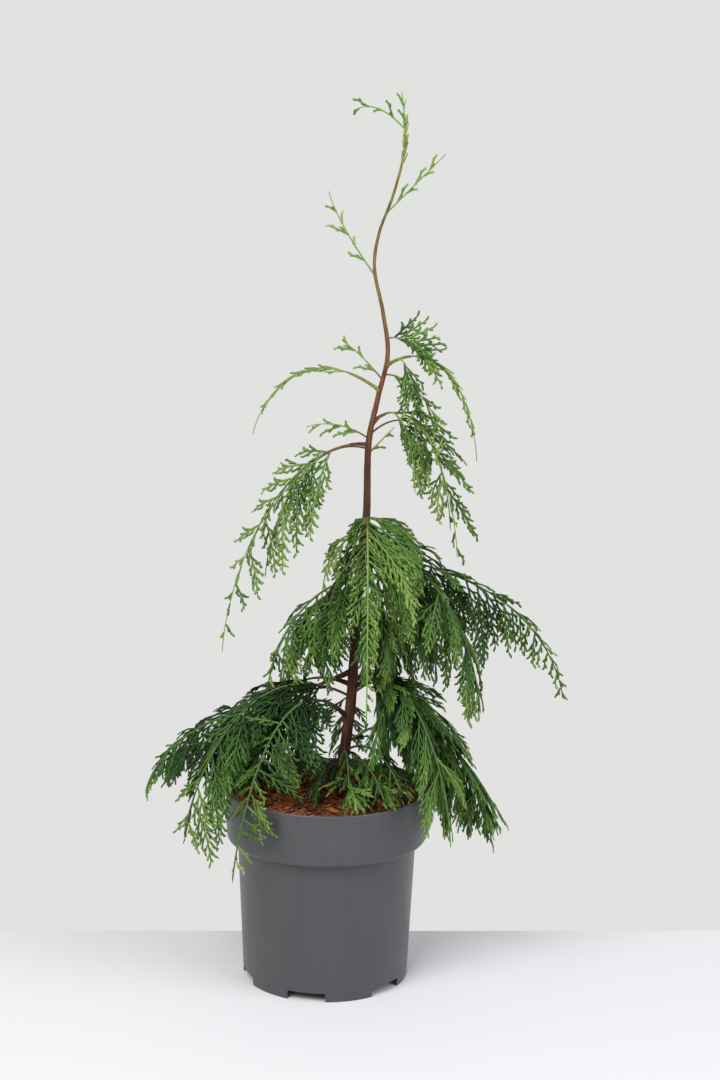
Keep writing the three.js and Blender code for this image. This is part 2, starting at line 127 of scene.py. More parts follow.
def add_node(tree, kind, settings=(), links=(), stops=()):
    """A node with settings {input or property: value} and links {input: output that feeds it}.

    stops, for a colour ramp, are (place, hex colour), from low to high.
    """
    node = tree.nodes.new(kind)
    for key, value in dict(settings).items():
        if isinstance(key, int) or key in node.inputs:
            node.inputs[key].default_value = value
        else:
            setattr(node, key, value)
    for key, source in dict(links).items():
        tree.links.new(source, node.inputs[key])
    for k, (place, colour) in enumerate(stops):
        elements = node.color_ramp.elements
        element = elements[k] if k < 2 else elements.new(place)
        element.position, element.color = place, linear(colour)
    return node


def start_material(name, colour, roughness, ior=1.5):
    """A material with a principled shader, and that shader."""
    material = bpy.data.materials.new(name)
    material.use_nodes = True
    shader = material.node_tree.nodes["Principled BSDF"]
    shader.inputs["Base Color"].default_value = linear(colour)
    shader.inputs["Roughness"].default_value = roughness
    shader.inputs["IOR"].default_value = ior
    return material, shader


# %% [markdown]
# Meshes are made from whole arrays in millimetres. A ring-and-tip tube is the one shape that
# limbs, sprays, twigs and shoots share: rings of a few corners along a line, closed at the root
# by a cap and at the tip by a point. All tubes of one kind are worked out at once.

# %% Mesh helpers


def make_piece(name, points, faces, materials, slots=None, replaced=()):
    """A smooth mesh object that rides on the plant, from points in mm and faces of equal size."""
    mesh = bpy.data.meshes.new(name)
    mesh.vertices.add(len(points))
    mesh.vertices.foreach_set("co", (np.asarray(points) * MM).astype(np.float32).ravel())
    size = faces.shape[1]
    mesh.loops.add(faces.size)
    mesh.loops.foreach_set("vertex_index", faces.astype(np.int32).ravel())
    mesh.polygons.add(len(faces))
    mesh.polygons.foreach_set("loop_start", np.arange(0, faces.size, size, dtype=np.int32))
    for material in materials:
        mesh.materials.append(material)
    if slots is not None:
        mesh.polygons.foreach_set("material_index", slots.astype(np.int32))
    mesh.polygons.foreach_set("use_smooth", np.ones(len(faces), bool))
    mesh.update(calc_edges=True)
    piece = bpy.data.objects.new(name, mesh)
    bpy.context.collection.objects.link(piece)
    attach(piece, "root")
    if replaced:
        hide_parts(*replaced)
    print(f"{name}: {len(faces) * (size - 2)} triangles")
    return piece


def ring_faces(rings, sides):
    """Triangles of one tube with its cap and tip, and the ring that each belongs to."""
    j, i = np.divmod(np.arange((rings - 1) * sides), sides)
    here, beside = j * sides + i, j * sides + (i + 1) % sides
    wall = np.stack([here, beside, beside + sides, here, beside + sides, here + sides], -1)
    k = np.arange(sides)
    last = (rings - 1) * sides
    tip = np.stack([last + k, last + (k + 1) % sides, np.full(sides, rings * sides)], -1)
    k = np.arange(1, sides - 1)
    cap = np.stack([np.zeros_like(k), k + 1, k], -1)
    ring = np.concatenate([np.repeat(j, 2), np.full(sides, rings - 1), np.zeros(sides - 2, int)])
    return np.concatenate([wall.reshape(-1, 3), tip, cap]), ring


def tubes(line, along, across, wide, thick, sides):
    """Points, faces, ring and tube of each face, for many tubes at once.

    line and along are (tubes, rings + 1, 3): places and directions, with the tip last. Corner k of
    a ring lies at wide * cos(a) along the width and thick * sin(a) along the flat side's normal,
    with a = 360 k / sides degrees. wide and thick are (tubes, rings).
    """
    count, rings = line.shape[0], line.shape[1] - 1
    width = unit(across[:, None] - (across[:, None] * along).sum(-1, keepdims=True) * along)
    normal = np.cross(along, width)
    angle = np.arange(sides) * 2 * np.pi / sides
    spread = width[:, :-1, None] * (wide[:, :, None] * np.cos(angle))[..., None]
    spread = spread + normal[:, :-1, None] * (thick[:, :, None] * np.sin(angle))[..., None]
    corners = (line[:, :-1, None] + spread).reshape(count, rings * sides, 3)
    points = np.concatenate([corners, line[:, -1:]], 1)
    faces, ring = ring_faces(rings, sides)
    start = np.arange(count) * points.shape[1]
    faces = (faces[None] + start[:, None, None]).reshape(-1, 3)
    owner = np.repeat(np.arange(count), len(ring))
    return points.reshape(-1, 3), faces, np.tile(ring, count), owner


def joined(parts):
    """Several [points, faces, slots] as one, with the face numbers moved on."""
    starts = np.cumsum([0] + [len(points) for points, _, _ in parts])
    points = np.concatenate([part[0] for part in parts])
    faces = np.concatenate([part[1] + start for part, start in zip(parts, starts)])
    return points, faces, np.concatenate([part[2] for part in parts])


# %% [markdown]
# The trunk's line goes through the bends of the real one: height, x, y and radius of each. Each
# frond is a line that leaves it, bows up and falls. A frond has the sizes of the imported model, in
# millimetres and degrees, some of them matched more closely to the real plant:
# - at and turn: a frond's height on the trunk and its bearing, 0 to the right, -90 in front
# - reach, arch, drop, bow and sag: the shape of its line, by the formula of frond_at
# - sprays, spray, open and droop: their number, length, angle to the limb, and how far they fall
# - bare, split and clear: the share that is bough, where the model divides the foliage in two
#   masses, and the share that has no sprays
# - roll and twist: how the sprays are turned about the limb and about themselves
# - upper and tail: the length of the sprays above the limb, and of those past the split
#
# The other values are this scene's own:
# - fine and size: how many sprays stand for one of the model's, and their length against its own
# - spread and fan: how much roll and open vary from spray to spray
# - start, fall and taper: the length at the trunk, what it has lost at the tip, and the share of
#   the frond over which it runs out
# - lean, dip and cover: longer sprays on one side, sprays that leave downwards, and the length
#   of those that lie over the limb
# - crest: where the upper sprays are longest, at the tip below 1.15 and at the trunk above it
# - swing and sweep: how far sprays are pulled outwards, and more so towards the tip
# - spur and hang: the angle of the twigs, and how much they are pulled down
# - age: from 0, short open twigs, to 1, long parallel strands
# - tone and glow: the green, from 0, deep, to 6, lime, and what it gains from trunk to tip. The
#   gain is partly the lighter new growth and partly painted light: lit outer sprays lighter, shaded
#   inner ones darker
#
# PLAIN holds what a frond has unless it says otherwise, and SHARED what a group has instead: the
# top is young and bright, and the foot lies flat, old and deep green. These greens are partly
# painted light too: the top, in the light, is brighter, and the low fronds and the foot, in shade,
# darker.

# %% Trunk and fronds
POT_HEIGHT, COLLAR_RADIUS, MIX_EDGE, MIX_TOP = 193, 101, 181, 190
TRUNK = np.array([
    [190.3, 11, 0, 8.2], [201, 12.5, 0, 5.9], [276, 22, 0, 4.9], [352, 26, 0, 4.5], [430, 31, 2, 4.0],
    [467, 35, 2, 3.5], [537, 36, 0, 2.9], [580, 44, -1, 2.4], [622, 53, 0, 2.1], [662, 48, 1, 1.8],
    [705, 39, 2, 1.6], [738, 43, 0, 1.45], [771, 55, -2, 1.3], [811, 65, -3, 1.15], [838, 66, -3, 0.95],
])
SIZES = ("at", "turn", "reach", "arch", "drop", "sprays", "spray", "bow", "sag", "open", "droop")
PLAIN = dict(bare=0, split=0, clear=0, roll=40, twist=0, upper=0.4, tail=1, fine=3.4, spread=22,
             fan=8, size=1, start=0.45, fall=0.62, taper=0.24, lean=0, dip=0.15, cover=0, crest=0.4,
             swing=0, sweep=0, spur=24, hang=0.6, age=0.5, tone=2.3, glow=0.8)
SHARED = {
    "top": dict(roll=70, fine=2, hang=0, age=0, tone=3.8),
    "right": dict(fine=2.4, spur=30),
    "crown": dict(fine=4, spread=50, fan=16, start=0.9, spur=28, hang=1, tone=2.2),
    "back": dict(bare=0.1, roll=30, spur=32),
    "low_left": dict(fan=16),
    "low_right": dict(fan=16, spur=20, age=0.95),
    "low_back": dict(bare=0.1, roll=28, age=0.8),
    "foot": dict(roll=0, fine=6, spread=50, fan=14, size=1.1, spur=17, age=1, tone=1.6),
}


def frond(name, group, *sizes, **own):
    """One frond's values: the plain ones, those that its group shares, its sizes and its own."""
    sized = dict(zip(SIZES, sizes), name=name, group=group)
    return {**PLAIN, **SHARED.get(group, {}), **sized, **own}


FRONDS = [
    frond("leader_tip", "top", 838, 180, 4, 0, -31, 2, 18, 1, 1, 24, 0.1, size=0.9, tone=3.9),
    frond("leader_left", "top", 834, 178, 49, 12, -15, 2, 24, 1.2, 1, 32, 0, roll=-70),
    frond("top_right", "top", 756, -8, 56, 0, -56, 3, 28, 1, 1, 24, 0, roll=-70, size=0.9, spur=22,
          tone=4),
    frond("top_left", "top", 697, 172, 46, 0, -80, 4, 34, 1.3, 1, 30, 0.1, fine=1.5, size=0.8,
          tone=4),
    frond("fan_right", "top", 638, -14, 42, 4, 16, 5, 47, 1.1, 1.4, 42, 0, roll=-80, upper=1,
          fine=2.6, spread=8, size=0.95, dip=0.1, spur=34, age=0.05, tone=3.1),
    frond("upper_right", "top", 612, 8, 91, 24, 94, 4, 24, 1.5, 1.7, 18, 0.2, bare=0.18, roll=40,
          fine=5, age=0.1, tone=4.3),
    frond("upper_curtain", "top", 603, -24, 34, 24, 38, 4, 38, 1.3, 1.8, 34, 0.3, clear=0.5,
          roll=84, upper=0.5, fine=2.2, spread=10, fan=10, start=0.1, fall=0.1, taper=0.12, dip=0,
          spur=30, hang=0.6, age=0.25, tone=3),
    frond("upper_left", "top", 588, 176, 123, 29, 46, 4, 22, 1.3, 2, 16, 0.1, bare=0.18, roll=30,
          fine=5, age=0.1, tone=4.3),
    frond("upper_left_spray", "top", 598, 190, 40, 4, -38, 2, 28, 1.1, 1, 34, 0.1, spur=28),
    frond("right", "right", 557, 4, 86, 34, 134, 7, 78, 1.4, 1.5, 48, 0.8, bare=0.1, split=0.46,
          clear=0.16, roll=55, upper=1, spread=30, cover=0.45, swing=0.45, age=0.2, tone=3.5),
    frond("right_front", "right", 550, -48, 64, 32, 56, 4, 78, 1.5, 1.6, 56, 0.95, clear=0.45,
          roll=50, twist=30, fine=1.5, start=0.25, cover=0.45, swing=0.4, age=0.25, tone=3.4),
    frond("right_back", "right", 545, 38, 106, 30, 104, 4, 74, 1.5, 1.7, 50, 0.9, clear=0.3,
          swing=0.2, spur=38, age=0.3, tone=2.7),
    frond("sprig", "right", 526, -20, 27, 0, -28, 2, 16, 1, 1, 26, 0, roll=70, fine=2, size=0.8,
          spur=26, hang=0, age=0, tone=4),
    frond("left", "left", 535, 187, 141, 18, 205, 9, 93, 1.5, 1.5, 52, 0.9, bare=0.08, split=0.42,
          clear=0.17, roll=60, upper=0.33, spread=26, start=0.8, fall=0.55, taper=0.42, dip=0.05,
          cover=0.42, crest=1.4, spur=34, age=0.2, tone=3.3),
    frond("left_spray", "left", 541, 176, 62, 8, -10, 3, 30, 1, 1, 36, 0.1, roll=60, fine=2,
          spur=28, hang=0, age=0, tone=3.8),
    frond("left_back", "left", 531, 150, 118, 14, 140, 4, 80, 1.5, 1.6, 52, 0.9, clear=0.34, fine=2,
          taper=0.5, swing=0.2, spur=38, age=0.3, tone=2.7),
    frond("crown_front", "crown", 462, -88, 84, 26, 188, 10, 98, 1.9, 1.5, 64, 0.85, split=0.4,
          roll=6, twist=66, tail=0.3, fine=7, spread=34, fan=20, size=0.88, start=0.6, lean=0.45,
          dip=0.5, spur=22, hang=1.1, tone=3.5, glow=1.8),
    frond("crown_right", "crown", 431, 6, 205, -16, 153, 9, 98, 1.45, 2.45, 50, 0.75, bare=0.08,
          split=0.44, roll=56, upper=0.3, fine=4.4, spread=30, fan=14, start=0.7, fall=0.5,
          taper=0.62, dip=0.3, swing=0.1, sweep=0.7, hang=0.8, age=0.35, glow=2.2),
    frond("crown_low_right", "crown", 430, -27, 130, 24, 148, 6, 92, 1.5, 1.4, 42, 0.85, bare=0.1,
          fine=4.5, start=0.8, fall=0.4, taper=0.22, dip=0.3, swing=-0.1, sweep=0.5, hang=0.9,
          glow=2.2),
    frond("crown_left", "crown", 440, 178, 40, 14, 62, 3, 62, 1.5, 1.8, 46, 0.9, upper=0.2,
          fine=1.6, spread=22, fan=8, start=0.45, dip=0.4, spur=32, hang=0.9, age=0.25, tone=4.1),
    frond("left_low", "left", 402, 194, 92, 2, 114, 5, 84, 1.5, 1.8, 46, 0.85, clear=0.3, roll=44,
          upper=0.2, fine=2.5, spread=40, fan=14, dip=0.3, spur=30, hang=0.9, age=0.45, tone=2.6,
          glow=2),
    frond("back", "back", 440, 86, 112, 16, 168, 5, 84, 1.5, 1.7, 52, 0.85, roll=20),
    frond("back_left", "back", 384, 142, 98, 12, 110, 4, 84, 1.4, 1.8, 50, 0.85),
    frond("back_right", "back", 428, 44, 150, 20, 130, 5, 92, 1.4, 1.8, 50, 0.85),
    frond("low_left", "low_left", 311, 183, 205, -32, 126, 9, 118, 1.35, 3.2, 42, 0.75, bare=0.1,
          split=0.48, clear=0.1, roll=46, upper=0.12, tail=0.62, fine=6.3, spread=36, start=0.9,
          taper=0.3, dip=0.2, swing=0.1, sweep=0.8, age=0.85, tone=0.5, glow=5),
    frond("low_left_rim", "low_left", 284, 202, 172, 34, 126, 5, 92, 1.3, 2, 42, 0.75, roll=34,
          upper=0.25, fine=6.6, spread=40, size=1.12, start=0.9, fall=0.45, taper=0.12, dip=0.35,
          swing=0.1, spur=30, tone=1.5, glow=5.6),
    frond("low_left_front", "low_left", 262, 224, 150, 44, 136, 5, 62, 1.25, 2.2, 72, 0.3,
          bare=0.14, clear=0.3, roll=12, twist=30, fine=8, spread=50, fan=24, size=1.1, fall=0.3,
          dip=0.3, spur=34, age=0.35, tone=1.7, glow=6),
    frond("low_right", "low_right", 304, -5, 141, 1, 156, 9, 112, 1.3, 1.7, 38, 0.7, bare=0.1,
          split=0.44, roll=50, upper=0.6, fine=5, spread=36, fall=0.42, taper=0.3, dip=0.5,
          crest=0.9, swing=0.05, sweep=1, tone=1.9, glow=1.6),
    frond("low_right_front", "low_right", 286, -42, 130, 38, 112, 4, 80, 1.25, 1.9, 40, 0.7,
          roll=24, fine=6, spread=50, fan=20, fall=0.2, taper=0.14, dip=0.35, sweep=0.8, spur=22,
          age=0.9, tone=2.5, glow=1.6),
    frond("low_back_left", "low_back", 296, 142, 156, 12, 128, 5, 92, 1.3, 1.9, 44, 0.75,
          clear=0.44),
    frond("low_back_right", "low_back", 294, 40, 150, 14, 130, 5, 92, 1.3, 1.9, 44, 0.75),
    frond("low_back", "low_back", 276, 92, 150, 22, 150, 4, 76, 1.15, 2.2, 44, 0.7, bare=0.18,
          clear=0.5, roll=10, fine=3, size=0.9),
    frond("foot_left", "foot", 216, 228, 74, 12, 12, 3, 40, 1.1, 1.6, 34, 0.2, fine=2.4),
    frond("foot_front", "foot", 222, -84, 66, 18, 18, 3, 40, 1.1, 1.6, 34, 0.5, fine=2.2, size=0.92,
          tone=1.5, glow=1.6),
    frond("foot_right", "foot", 228, -48, 84, 18, 22, 3, 42, 1.1, 1.6, 34, 0.5, fine=3.2, glow=1.6),
    frond("foot_twig", "foot", 236, 14, 44, 6, -18, 2, 24, 1.1, 1.2, 34, 0.1, roll=70, fine=2,
          fan=8, size=1, spur=26, age=0.5, tone=1.4),
]
# Shorter fronds that fill the crown and the foot, within the reach of the others.
INNER_FRONDS = [
    frond("inner_left", "crown", 418, 205, 36, 10, 70, 4, 104, 1.5, 1.6, 50, 0.95, fine=1.2,
          hang=0.6),
    frond("inner_right", "crown", 404, -24, 84, 18, 96, 5, 104, 1.5, 1.6, 46, 0.95, spur=26,
          age=0.6, tone=2.4),
    frond("inner_front", "crown", 440, -64, 46, 14, 110, 5, 84, 1.6, 1.5, 50, 0.95, roll=20,
          spur=30, tone=3.9),
    frond("low_inner_right", "low_right", 300, -46, 56, 22, 50, 6, 108, 1.5, 1.6, 44, 0.9, fine=3.2,
          spread=60, start=0.9, tone=1.6),
    frond("foot_fan_right", "foot", 214, -62, 88, 18, 12, 4, 46, 1.1, 1.6, 34, 0.6, fine=3.5,
          fan=16, glow=2.4),
    frond("foot_fan_left", "foot", 212, -118, 66, 10, 16, 4, 44, 1.1, 1.6, 34, 0.4, fine=1.8,
          fan=16, tone=1.5),
    frond("foot_fan_low", "foot", 206, -36, 86, 14, 10, 4, 44, 1.1, 1.6, 34, 0.6, fine=4, fan=16,
          size=1.2, spur=22, age=0.6, tone=2.6),
    frond("foot_rim_right", "foot", 204, -56, 92, 12, 8, 4, 34, 1.1, 1.4, 34, 0.3, bare=0.3, fan=40,
          size=1.3, spur=26, age=0.4, tone=3),
    frond("foot_rim", "foot", 204, -80, 95, 12, 8, 4, 36, 1.1, 1.4, 34, 0.3, bare=0.3, fan=40,
          size=1.3, spur=26, age=0.4, tone=3),
    frond("upper_fall", "top", 603, -14, 62, 10, 66, 5, 38, 1.2, 1.3, 40, 0.5, fine=2.2, spread=50,
          start=0.3, fall=0.2, taper=0.1, swing=0.4, spur=32, hang=0.6, age=0.2, tone=3.3),
    frond("inner_low_right", "crown", 382, -44, 52, 8, 62, 5, 96, 1.5, 1.6, 46, 0.95, spread=60,
          spur=22, age=0.85, tone=2.6),
    frond("inner_low_left", "crown", 386, 204, 50, 8, 70, 5, 88, 1.5, 1.6, 46, 0.95, spread=60,
          spur=26, age=0.6, tone=2.4),
]

# %% The lines of trunk and fronds
STEM_RADIUS, STEM_TIP_RADIUS, BOUGH_RADIUS = 1.5, 0.75, 2.6
DOWN = np.array([0.0, 0.0, -1.0])


def trunk_at(height):
    """Centres and radii at heights: a cubic between bends, with slopes from the neighbours."""
    height = np.asarray(height, float)
    stations = TRUNK[:, 0]
    last = len(stations) - 1
    k = np.clip(np.searchsorted(stations, height, side="left") - 1, 0, last - 1)
    span = (stations[k + 1] - stations[k])[..., None]
    s = np.clip((height - stations[k])[..., None] / span, 0, 1)
    before, after = np.maximum(np.arange(last + 1) - 1, 0), np.minimum(np.arange(last + 1) + 1, last)
    slope = (TRUNK[after, 1:] - TRUNK[before, 1:]) / (stations[after] - stations[before])[:, None]
    value = (2 * s**3 - 3 * s**2 + 1) * TRUNK[k, 1:] + (s**3 - 2 * s**2 + s) * span * slope[k]
    value = value + (3 * s**2 - 2 * s**3) * TRUNK[k + 1, 1:] + (s**3 - s**2) * span * slope[k + 1]
    return np.concatenate([value[..., :2], height[..., None]], -1), value[..., 2]


def frond_at(f, t):
    """Places on a frond: out = reach (1 - (1 - t)^bow), up = 4 arch t (1 - t) - drop t^sag."""
    t = np.clip(np.asarray(t, float), 0, 1)
    heading = np.radians(f["turn"])
    out = f["reach"] * (1 - (1 - t) ** f["bow"])
    rise = 4 * f["arch"] * t * (1 - t) - f["drop"] * t ** f["sag"]
    return np.stack([out * np.cos(heading), out * np.sin(heading), rise], -1) + trunk_at(f["at"])[0]


def frond_along(f, t):
    """Directions of a frond, from places just before and after."""
    step = 1e-3
    t = np.asarray(t, float)
    return unit(frond_at(f, np.minimum(t + step, 1)) - frond_at(f, np.maximum(t - step, 0)))


def level_across(f):
    """The level direction across a frond."""
    return np.array([-np.sin(np.radians(f["turn"])), np.cos(np.radians(f["turn"])), 0.0])


def heading_of(f):
    """The level direction in which a frond leaves the trunk."""
    return np.array([np.cos(np.radians(f["turn"])), np.sin(np.radians(f["turn"])), 0.0])


def limb_radius(f, t):
    """The radius of a frond's own limb at a share of its line, less for the young ones higher up."""
    return lerp(STEM_RADIUS, STEM_TIP_RADIUS, t) * stoutness(f)


def stoutness(f):
    """From 1 for the lowest limbs to 0.62 for those above 540 mm."""
    return np.clip(lerp(1.1, 0.62, (f["at"] - 300) / 240), 0.62, 1)


print("fronds:", len(FRONDS) + len(INNER_FRONDS),
      "trunk tip:", np.round(trunk_at(TRUNK[-1, 0])[0], 1).tolist())

# %% [markdown]
# Bark. The real trunk has thin reddish brown bark that splits lengthwise and peels in narrow
# strips, and it turns smooth and olive towards the leader. So the relief is a noise that is
# stretched along the limb, with its ridges sharpened, and it gets lower as the limb gets thin.

# %% Bark relief
STRIP_WIDTH, STRIP_LENGTH = 1.5, 17.0
RELIEF_SHARE = 0.15
TRUNK_SIDES, TRUNK_STEP, TRUNK_FOOT = 40, 1.2, 186
BOUGH_SIDES, BOUGH_RINGS = 14, 36
RIB_SHARE, RIB_HEIGHT = 0.12, 9
COLLAR_SWELL, COLLAR_LENGTH = 1.4, 5
YOUNG_FROM = 580


def level_ring(sides):
    """Unit directions to the corners of a level ring, and their angles."""
    angle = np.arange(sides) * 2 * np.pi / sides
    return np.stack([np.cos(angle), np.sin(angle), np.zeros(sides)], -1), angle


def bark_relief(sides, length_along, radius):
    """How far bark stands out at the corners of rings, in mm.

    length_along and radius have one value for each ring. The noise is read at the place on the
    bark divided by a strip's width, and along the limb by a strip's length. 1 - |2 n - 1| makes
    its ridges, and the height is a share of the radius.
    """
    shape = (len(radius), sides)
    radius = np.broadcast_to(radius[:, None], shape)
    level = level_ring(sides)[0][:, :2] * radius[..., None] / STRIP_WIDTH
    upright = np.broadcast_to(length_along[:, None], shape) / STRIP_LENGTH
    place = np.concatenate([level, upright[..., None]], -1)
    coarse = 1 - np.abs(2 * noise(place + 7.3) - 1)
    fine = 1 - np.abs(2 * noise(place * [2.3, 2.3, 3.1] + 31.7) - 1)
    return RELIEF_SHARE * radius * (coarse + 0.45 * fine - 0.7)


def make_trunk():
    """The trunk as rings of corners, flared and ribbed where it meets the mix."""
    heights = np.arange(TRUNK_FOOT, TRUNK[-1, 0] + 0.1, TRUNK_STEP)
    centre, radius = trunk_at(np.maximum(heights, TRUNK[0, 0]))
    centre[:, 2] = heights
    around, angle = level_ring(TRUNK_SIDES)
    fade = np.exp(-np.maximum(heights - TRUNK[0, 0], 0) / RIB_HEIGHT)[:, None]
    grown = radius[:, None] * (1 + fade * RIB_SHARE * np.cos(3 * angle + 0.8))
    grown = grown + bark_relief(TRUNK_SIDES, heights, radius)
    points = (centre[:, None] + around * grown[..., None]).reshape(-1, 3)
    faces, _ = ring_faces(len(heights), TRUNK_SIDES)
    tip = centre[-1:] + [0, 0, 0.5]
    return np.concatenate([points, tip]), faces


def make_bough(f):
    """One bough with its relief: it tapers to its stem, plus swell e^(-distance / length)."""
    share = np.linspace(0, 1, BOUGH_RINGS + 1)
    t = share * (f["bare"] + 0.012)
    line, along = frond_at(f, t), frond_along(f, t)
    away = np.linalg.norm(line - line[0], axis=1)
    stout = stoutness(f)
    radius = lerp(BOUGH_RADIUS * stout, limb_radius(f, f["bare"]) + 0.3, share)
    radius = (radius + COLLAR_SWELL * stout * np.exp(-away / COLLAR_LENGTH))[:-1]
    points, faces, _, _ = tubes(line[None], along[None], level_across(f)[None], radius[None],
                                radius[None], BOUGH_SIDES)
    body = points[:-1].reshape(BOUGH_RINGS, BOUGH_SIDES, 3)
    relief = bark_relief(BOUGH_SIDES, away[:-1] + f["at"], radius)
    body = body + unit(body - line[:-1, None]) * relief[..., None]
    points = np.concatenate([body.reshape(-1, 3), points[-1:]])
    return points, faces, np.full(len(faces), int(f["at"] > YOUNG_FROM))


# %% [markdown]
# Thin fibrous bark: dull, reddish brown on old wood, a darker brown on the middle of the trunk,
# olive on the leader. The height decides which, and dark splits run along the grain, 1.6 mm apart
# and eleven times as long, in patches of 9 mm. The two youngest boughs are still green. They get
# a plain colour that a noise of 1.4 mm shades and raises, and so do the chips of bark on the mix
# later on. Real fibres are finer, but wouldn't show at this distance.

# %% Bark finish


def make_bark():
    """Bark whose colour follows the height, darkened in splits, with a fine fibrous bump."""
    material, shader = start_material("bark_thin_fibrous", "#5b3427", 0.82, 1.45)
    tree = material.node_tree
    place = add_node(tree, "ShaderNodeTexCoord")
    stretched = add_node(tree, "ShaderNodeMapping", {"Scale": (1.0, 1.0, 0.09)},
                         {"Vector": place.outputs["Object"]})
    fibre = add_node(tree, "ShaderNodeTexNoise", {"Scale": 620.0, "Detail": 5.0, "Roughness": 0.62},
                     {"Vector": stretched.outputs["Vector"]})
    height = add_node(tree, "ShaderNodeSeparateXYZ", links={"Vector": place.outputs["Object"]})
    patch = add_node(tree, "ShaderNodeTexNoise", {"Scale": 110.0, "Detail": 3.0},
                     {"Vector": stretched.outputs["Vector"]})
    shifted = add_node(tree, "ShaderNodeMath", {"operation": "MULTIPLY_ADD", 1: 0.05},
                       {0: patch.outputs["Fac"], 2: height.outputs["Z"]})
    old = add_node(tree, "ShaderNodeValToRGB", links={"Fac": shifted.outputs["Value"]},
                   stops=[(0.2, "#7b4d32"), (0.33, "#643f2a"), (0.5, "#6c4933"), (0.64, "#7c5236"),
                          (0.74, "#93803f"), (0.84, "#989a50")])
    split = add_node(tree, "ShaderNodeValToRGB", links={"Fac": fibre.outputs["Fac"]},
                     stops=[(0.36, "#3a2a26"), (0.5, "#c9bcb2"), (0.68, "#ffffff")])
    peeled = add_node(tree, "ShaderNodeValToRGB", links={"Fac": patch.outputs["Fac"]},
                      stops=[(0.42, "#bdb3ab"), (0.52, "#ffffff"), (0.66, "#ffdcb0")])
    worn = add_node(tree, "ShaderNodeMix", {"data_type": "RGBA", "blend_type": "MULTIPLY", 0: 0.9},
                    {6: old.outputs["Color"], 7: peeled.outputs["Color"]})
    mixed = add_node(tree, "ShaderNodeMix", {"data_type": "RGBA", "blend_type": "MULTIPLY", 0: 0.8},
                     {6: worn.outputs[2], 7: split.outputs["Color"]})
    tree.links.new(mixed.outputs[2], shader.inputs["Base Color"])
    bump = add_node(tree, "ShaderNodeBump", {"Strength": 0.6, "Distance": 0.0006},
                    {"Height": fibre.outputs["Fac"]})
    tree.links.new(bump.outputs["Normal"], shader.inputs["Normal"])
    return material


def make_grained(name, colour, roughness, ior, grain, dark, relief):
    """A plain colour times a noise, from dark to white, that raises it too. grain is per metre."""
    material, shader = start_material(name, colour, roughness, ior)
    tree = material.node_tree
    place = add_node(tree, "ShaderNodeTexCoord")
    fibre = add_node(tree, "ShaderNodeTexNoise", {"Scale": grain, "Detail": 4.0, "Roughness": 0.65},
                     {"Vector": place.outputs["Object"]})
    shade = add_node(tree, "ShaderNodeValToRGB", links={"Fac": fibre.outputs["Fac"]},
                     stops=[(0.36, dark), (0.6, "#ffffff")])
    tinted = add_node(tree, "ShaderNodeMix", {"data_type": "RGBA", "blend_type": "MULTIPLY", 0: 1.0,
                                              7: linear(colour)}, {6: shade.outputs["Color"]})
    tree.links.new(tinted.outputs[2], shader.inputs["Base Color"])
    bump = add_node(tree, "ShaderNodeBump", {"Strength": 0.5, "Distance": relief},
                    {"Height": fibre.outputs["Fac"]})
    tree.links.new(bump.outputs["Normal"], shader.inputs["Normal"])
    return material


bark = make_bark()
young_bark = make_grained("green_bark_young", "#86863f", 0.6, 1.45, 700.0, "#b8a48c", 0.0003)
trunk_points, trunk_faces = make_trunk()
make_piece("trunk_bark", trunk_points, trunk_faces, [bark], replaced=["trunk"])
boughs = [f for f in FRONDS if f["bare"] > 0]
bough_points, bough_faces, bough_slots = joined([make_bough(f) for f in boughs])
make_piece("boughs_bark", bough_points, bough_faces, [bark, young_bark], bough_slots,
           replaced=[f"bough_{f['name']}" for f in boughs])

# %% [markdown]
# Foliage. On the real plant a spray is a flat fan: its axis carries twigs alternately left and
# right, and each twig carries shoots in the same way. One function therefore grows both levels.
# Every axis bends the same way: it leaves its parent along a heading and is pulled towards
# another direction, straight down for a spray, and between its parent's and down for a twig.

# %% Axes


def lined_up(values, s):
    """One value or vector for each axis, set against shares s, (axes,) or (axes, rings)."""
    return values.reshape(values.shape[:1] + (1,) * (s.ndim - 1) + values.shape[1:])


class Axes:
    """Many axes at once. place(s) = root + length ((s - b) heading + b pull), with b = bend s^2 / 2."""

    def __init__(self, **columns):
        self.columns = columns
        for name, values in columns.items():
            setattr(self, name, values)

    def kept(self, mask):
        """The axes where mask is true, or those that it numbers."""
        return Axes(**{name: values[mask] for name, values in self.columns.items()})

    def changed(self, **columns):
        """The same axes with new values in some columns."""
        return Axes(**{**self.columns, **columns})

    def place(self, s):
        """Places at shares s."""
        b = 0.5 * lined_up(self.bend, s) * s * s
        steps = (s - b)[..., None] * lined_up(self.heading, s) + b[..., None] * lined_up(self.pull, s)
        return lined_up(self.root, s) + lined_up(self.length, s)[..., None] * steps

    def along(self, s):
        """Directions at shares s: (1 - bend s) heading + bend s pull, made unit."""
        turned = (lined_up(self.bend, s) * s)[..., None]
        return unit((1 - turned) * lined_up(self.heading, s) + turned * lined_up(self.pull, s))


def gathered(sets):
    """Several sets of axes as one."""
    return Axes(**{name: np.concatenate([s.columns[name] for s in sets]) for name in sets[0].columns})


# %% Room that foliage leaves
COLLAR_FOOT, BODY_RADIUS, HEAP_RADIUS = 136, 90.5, 24


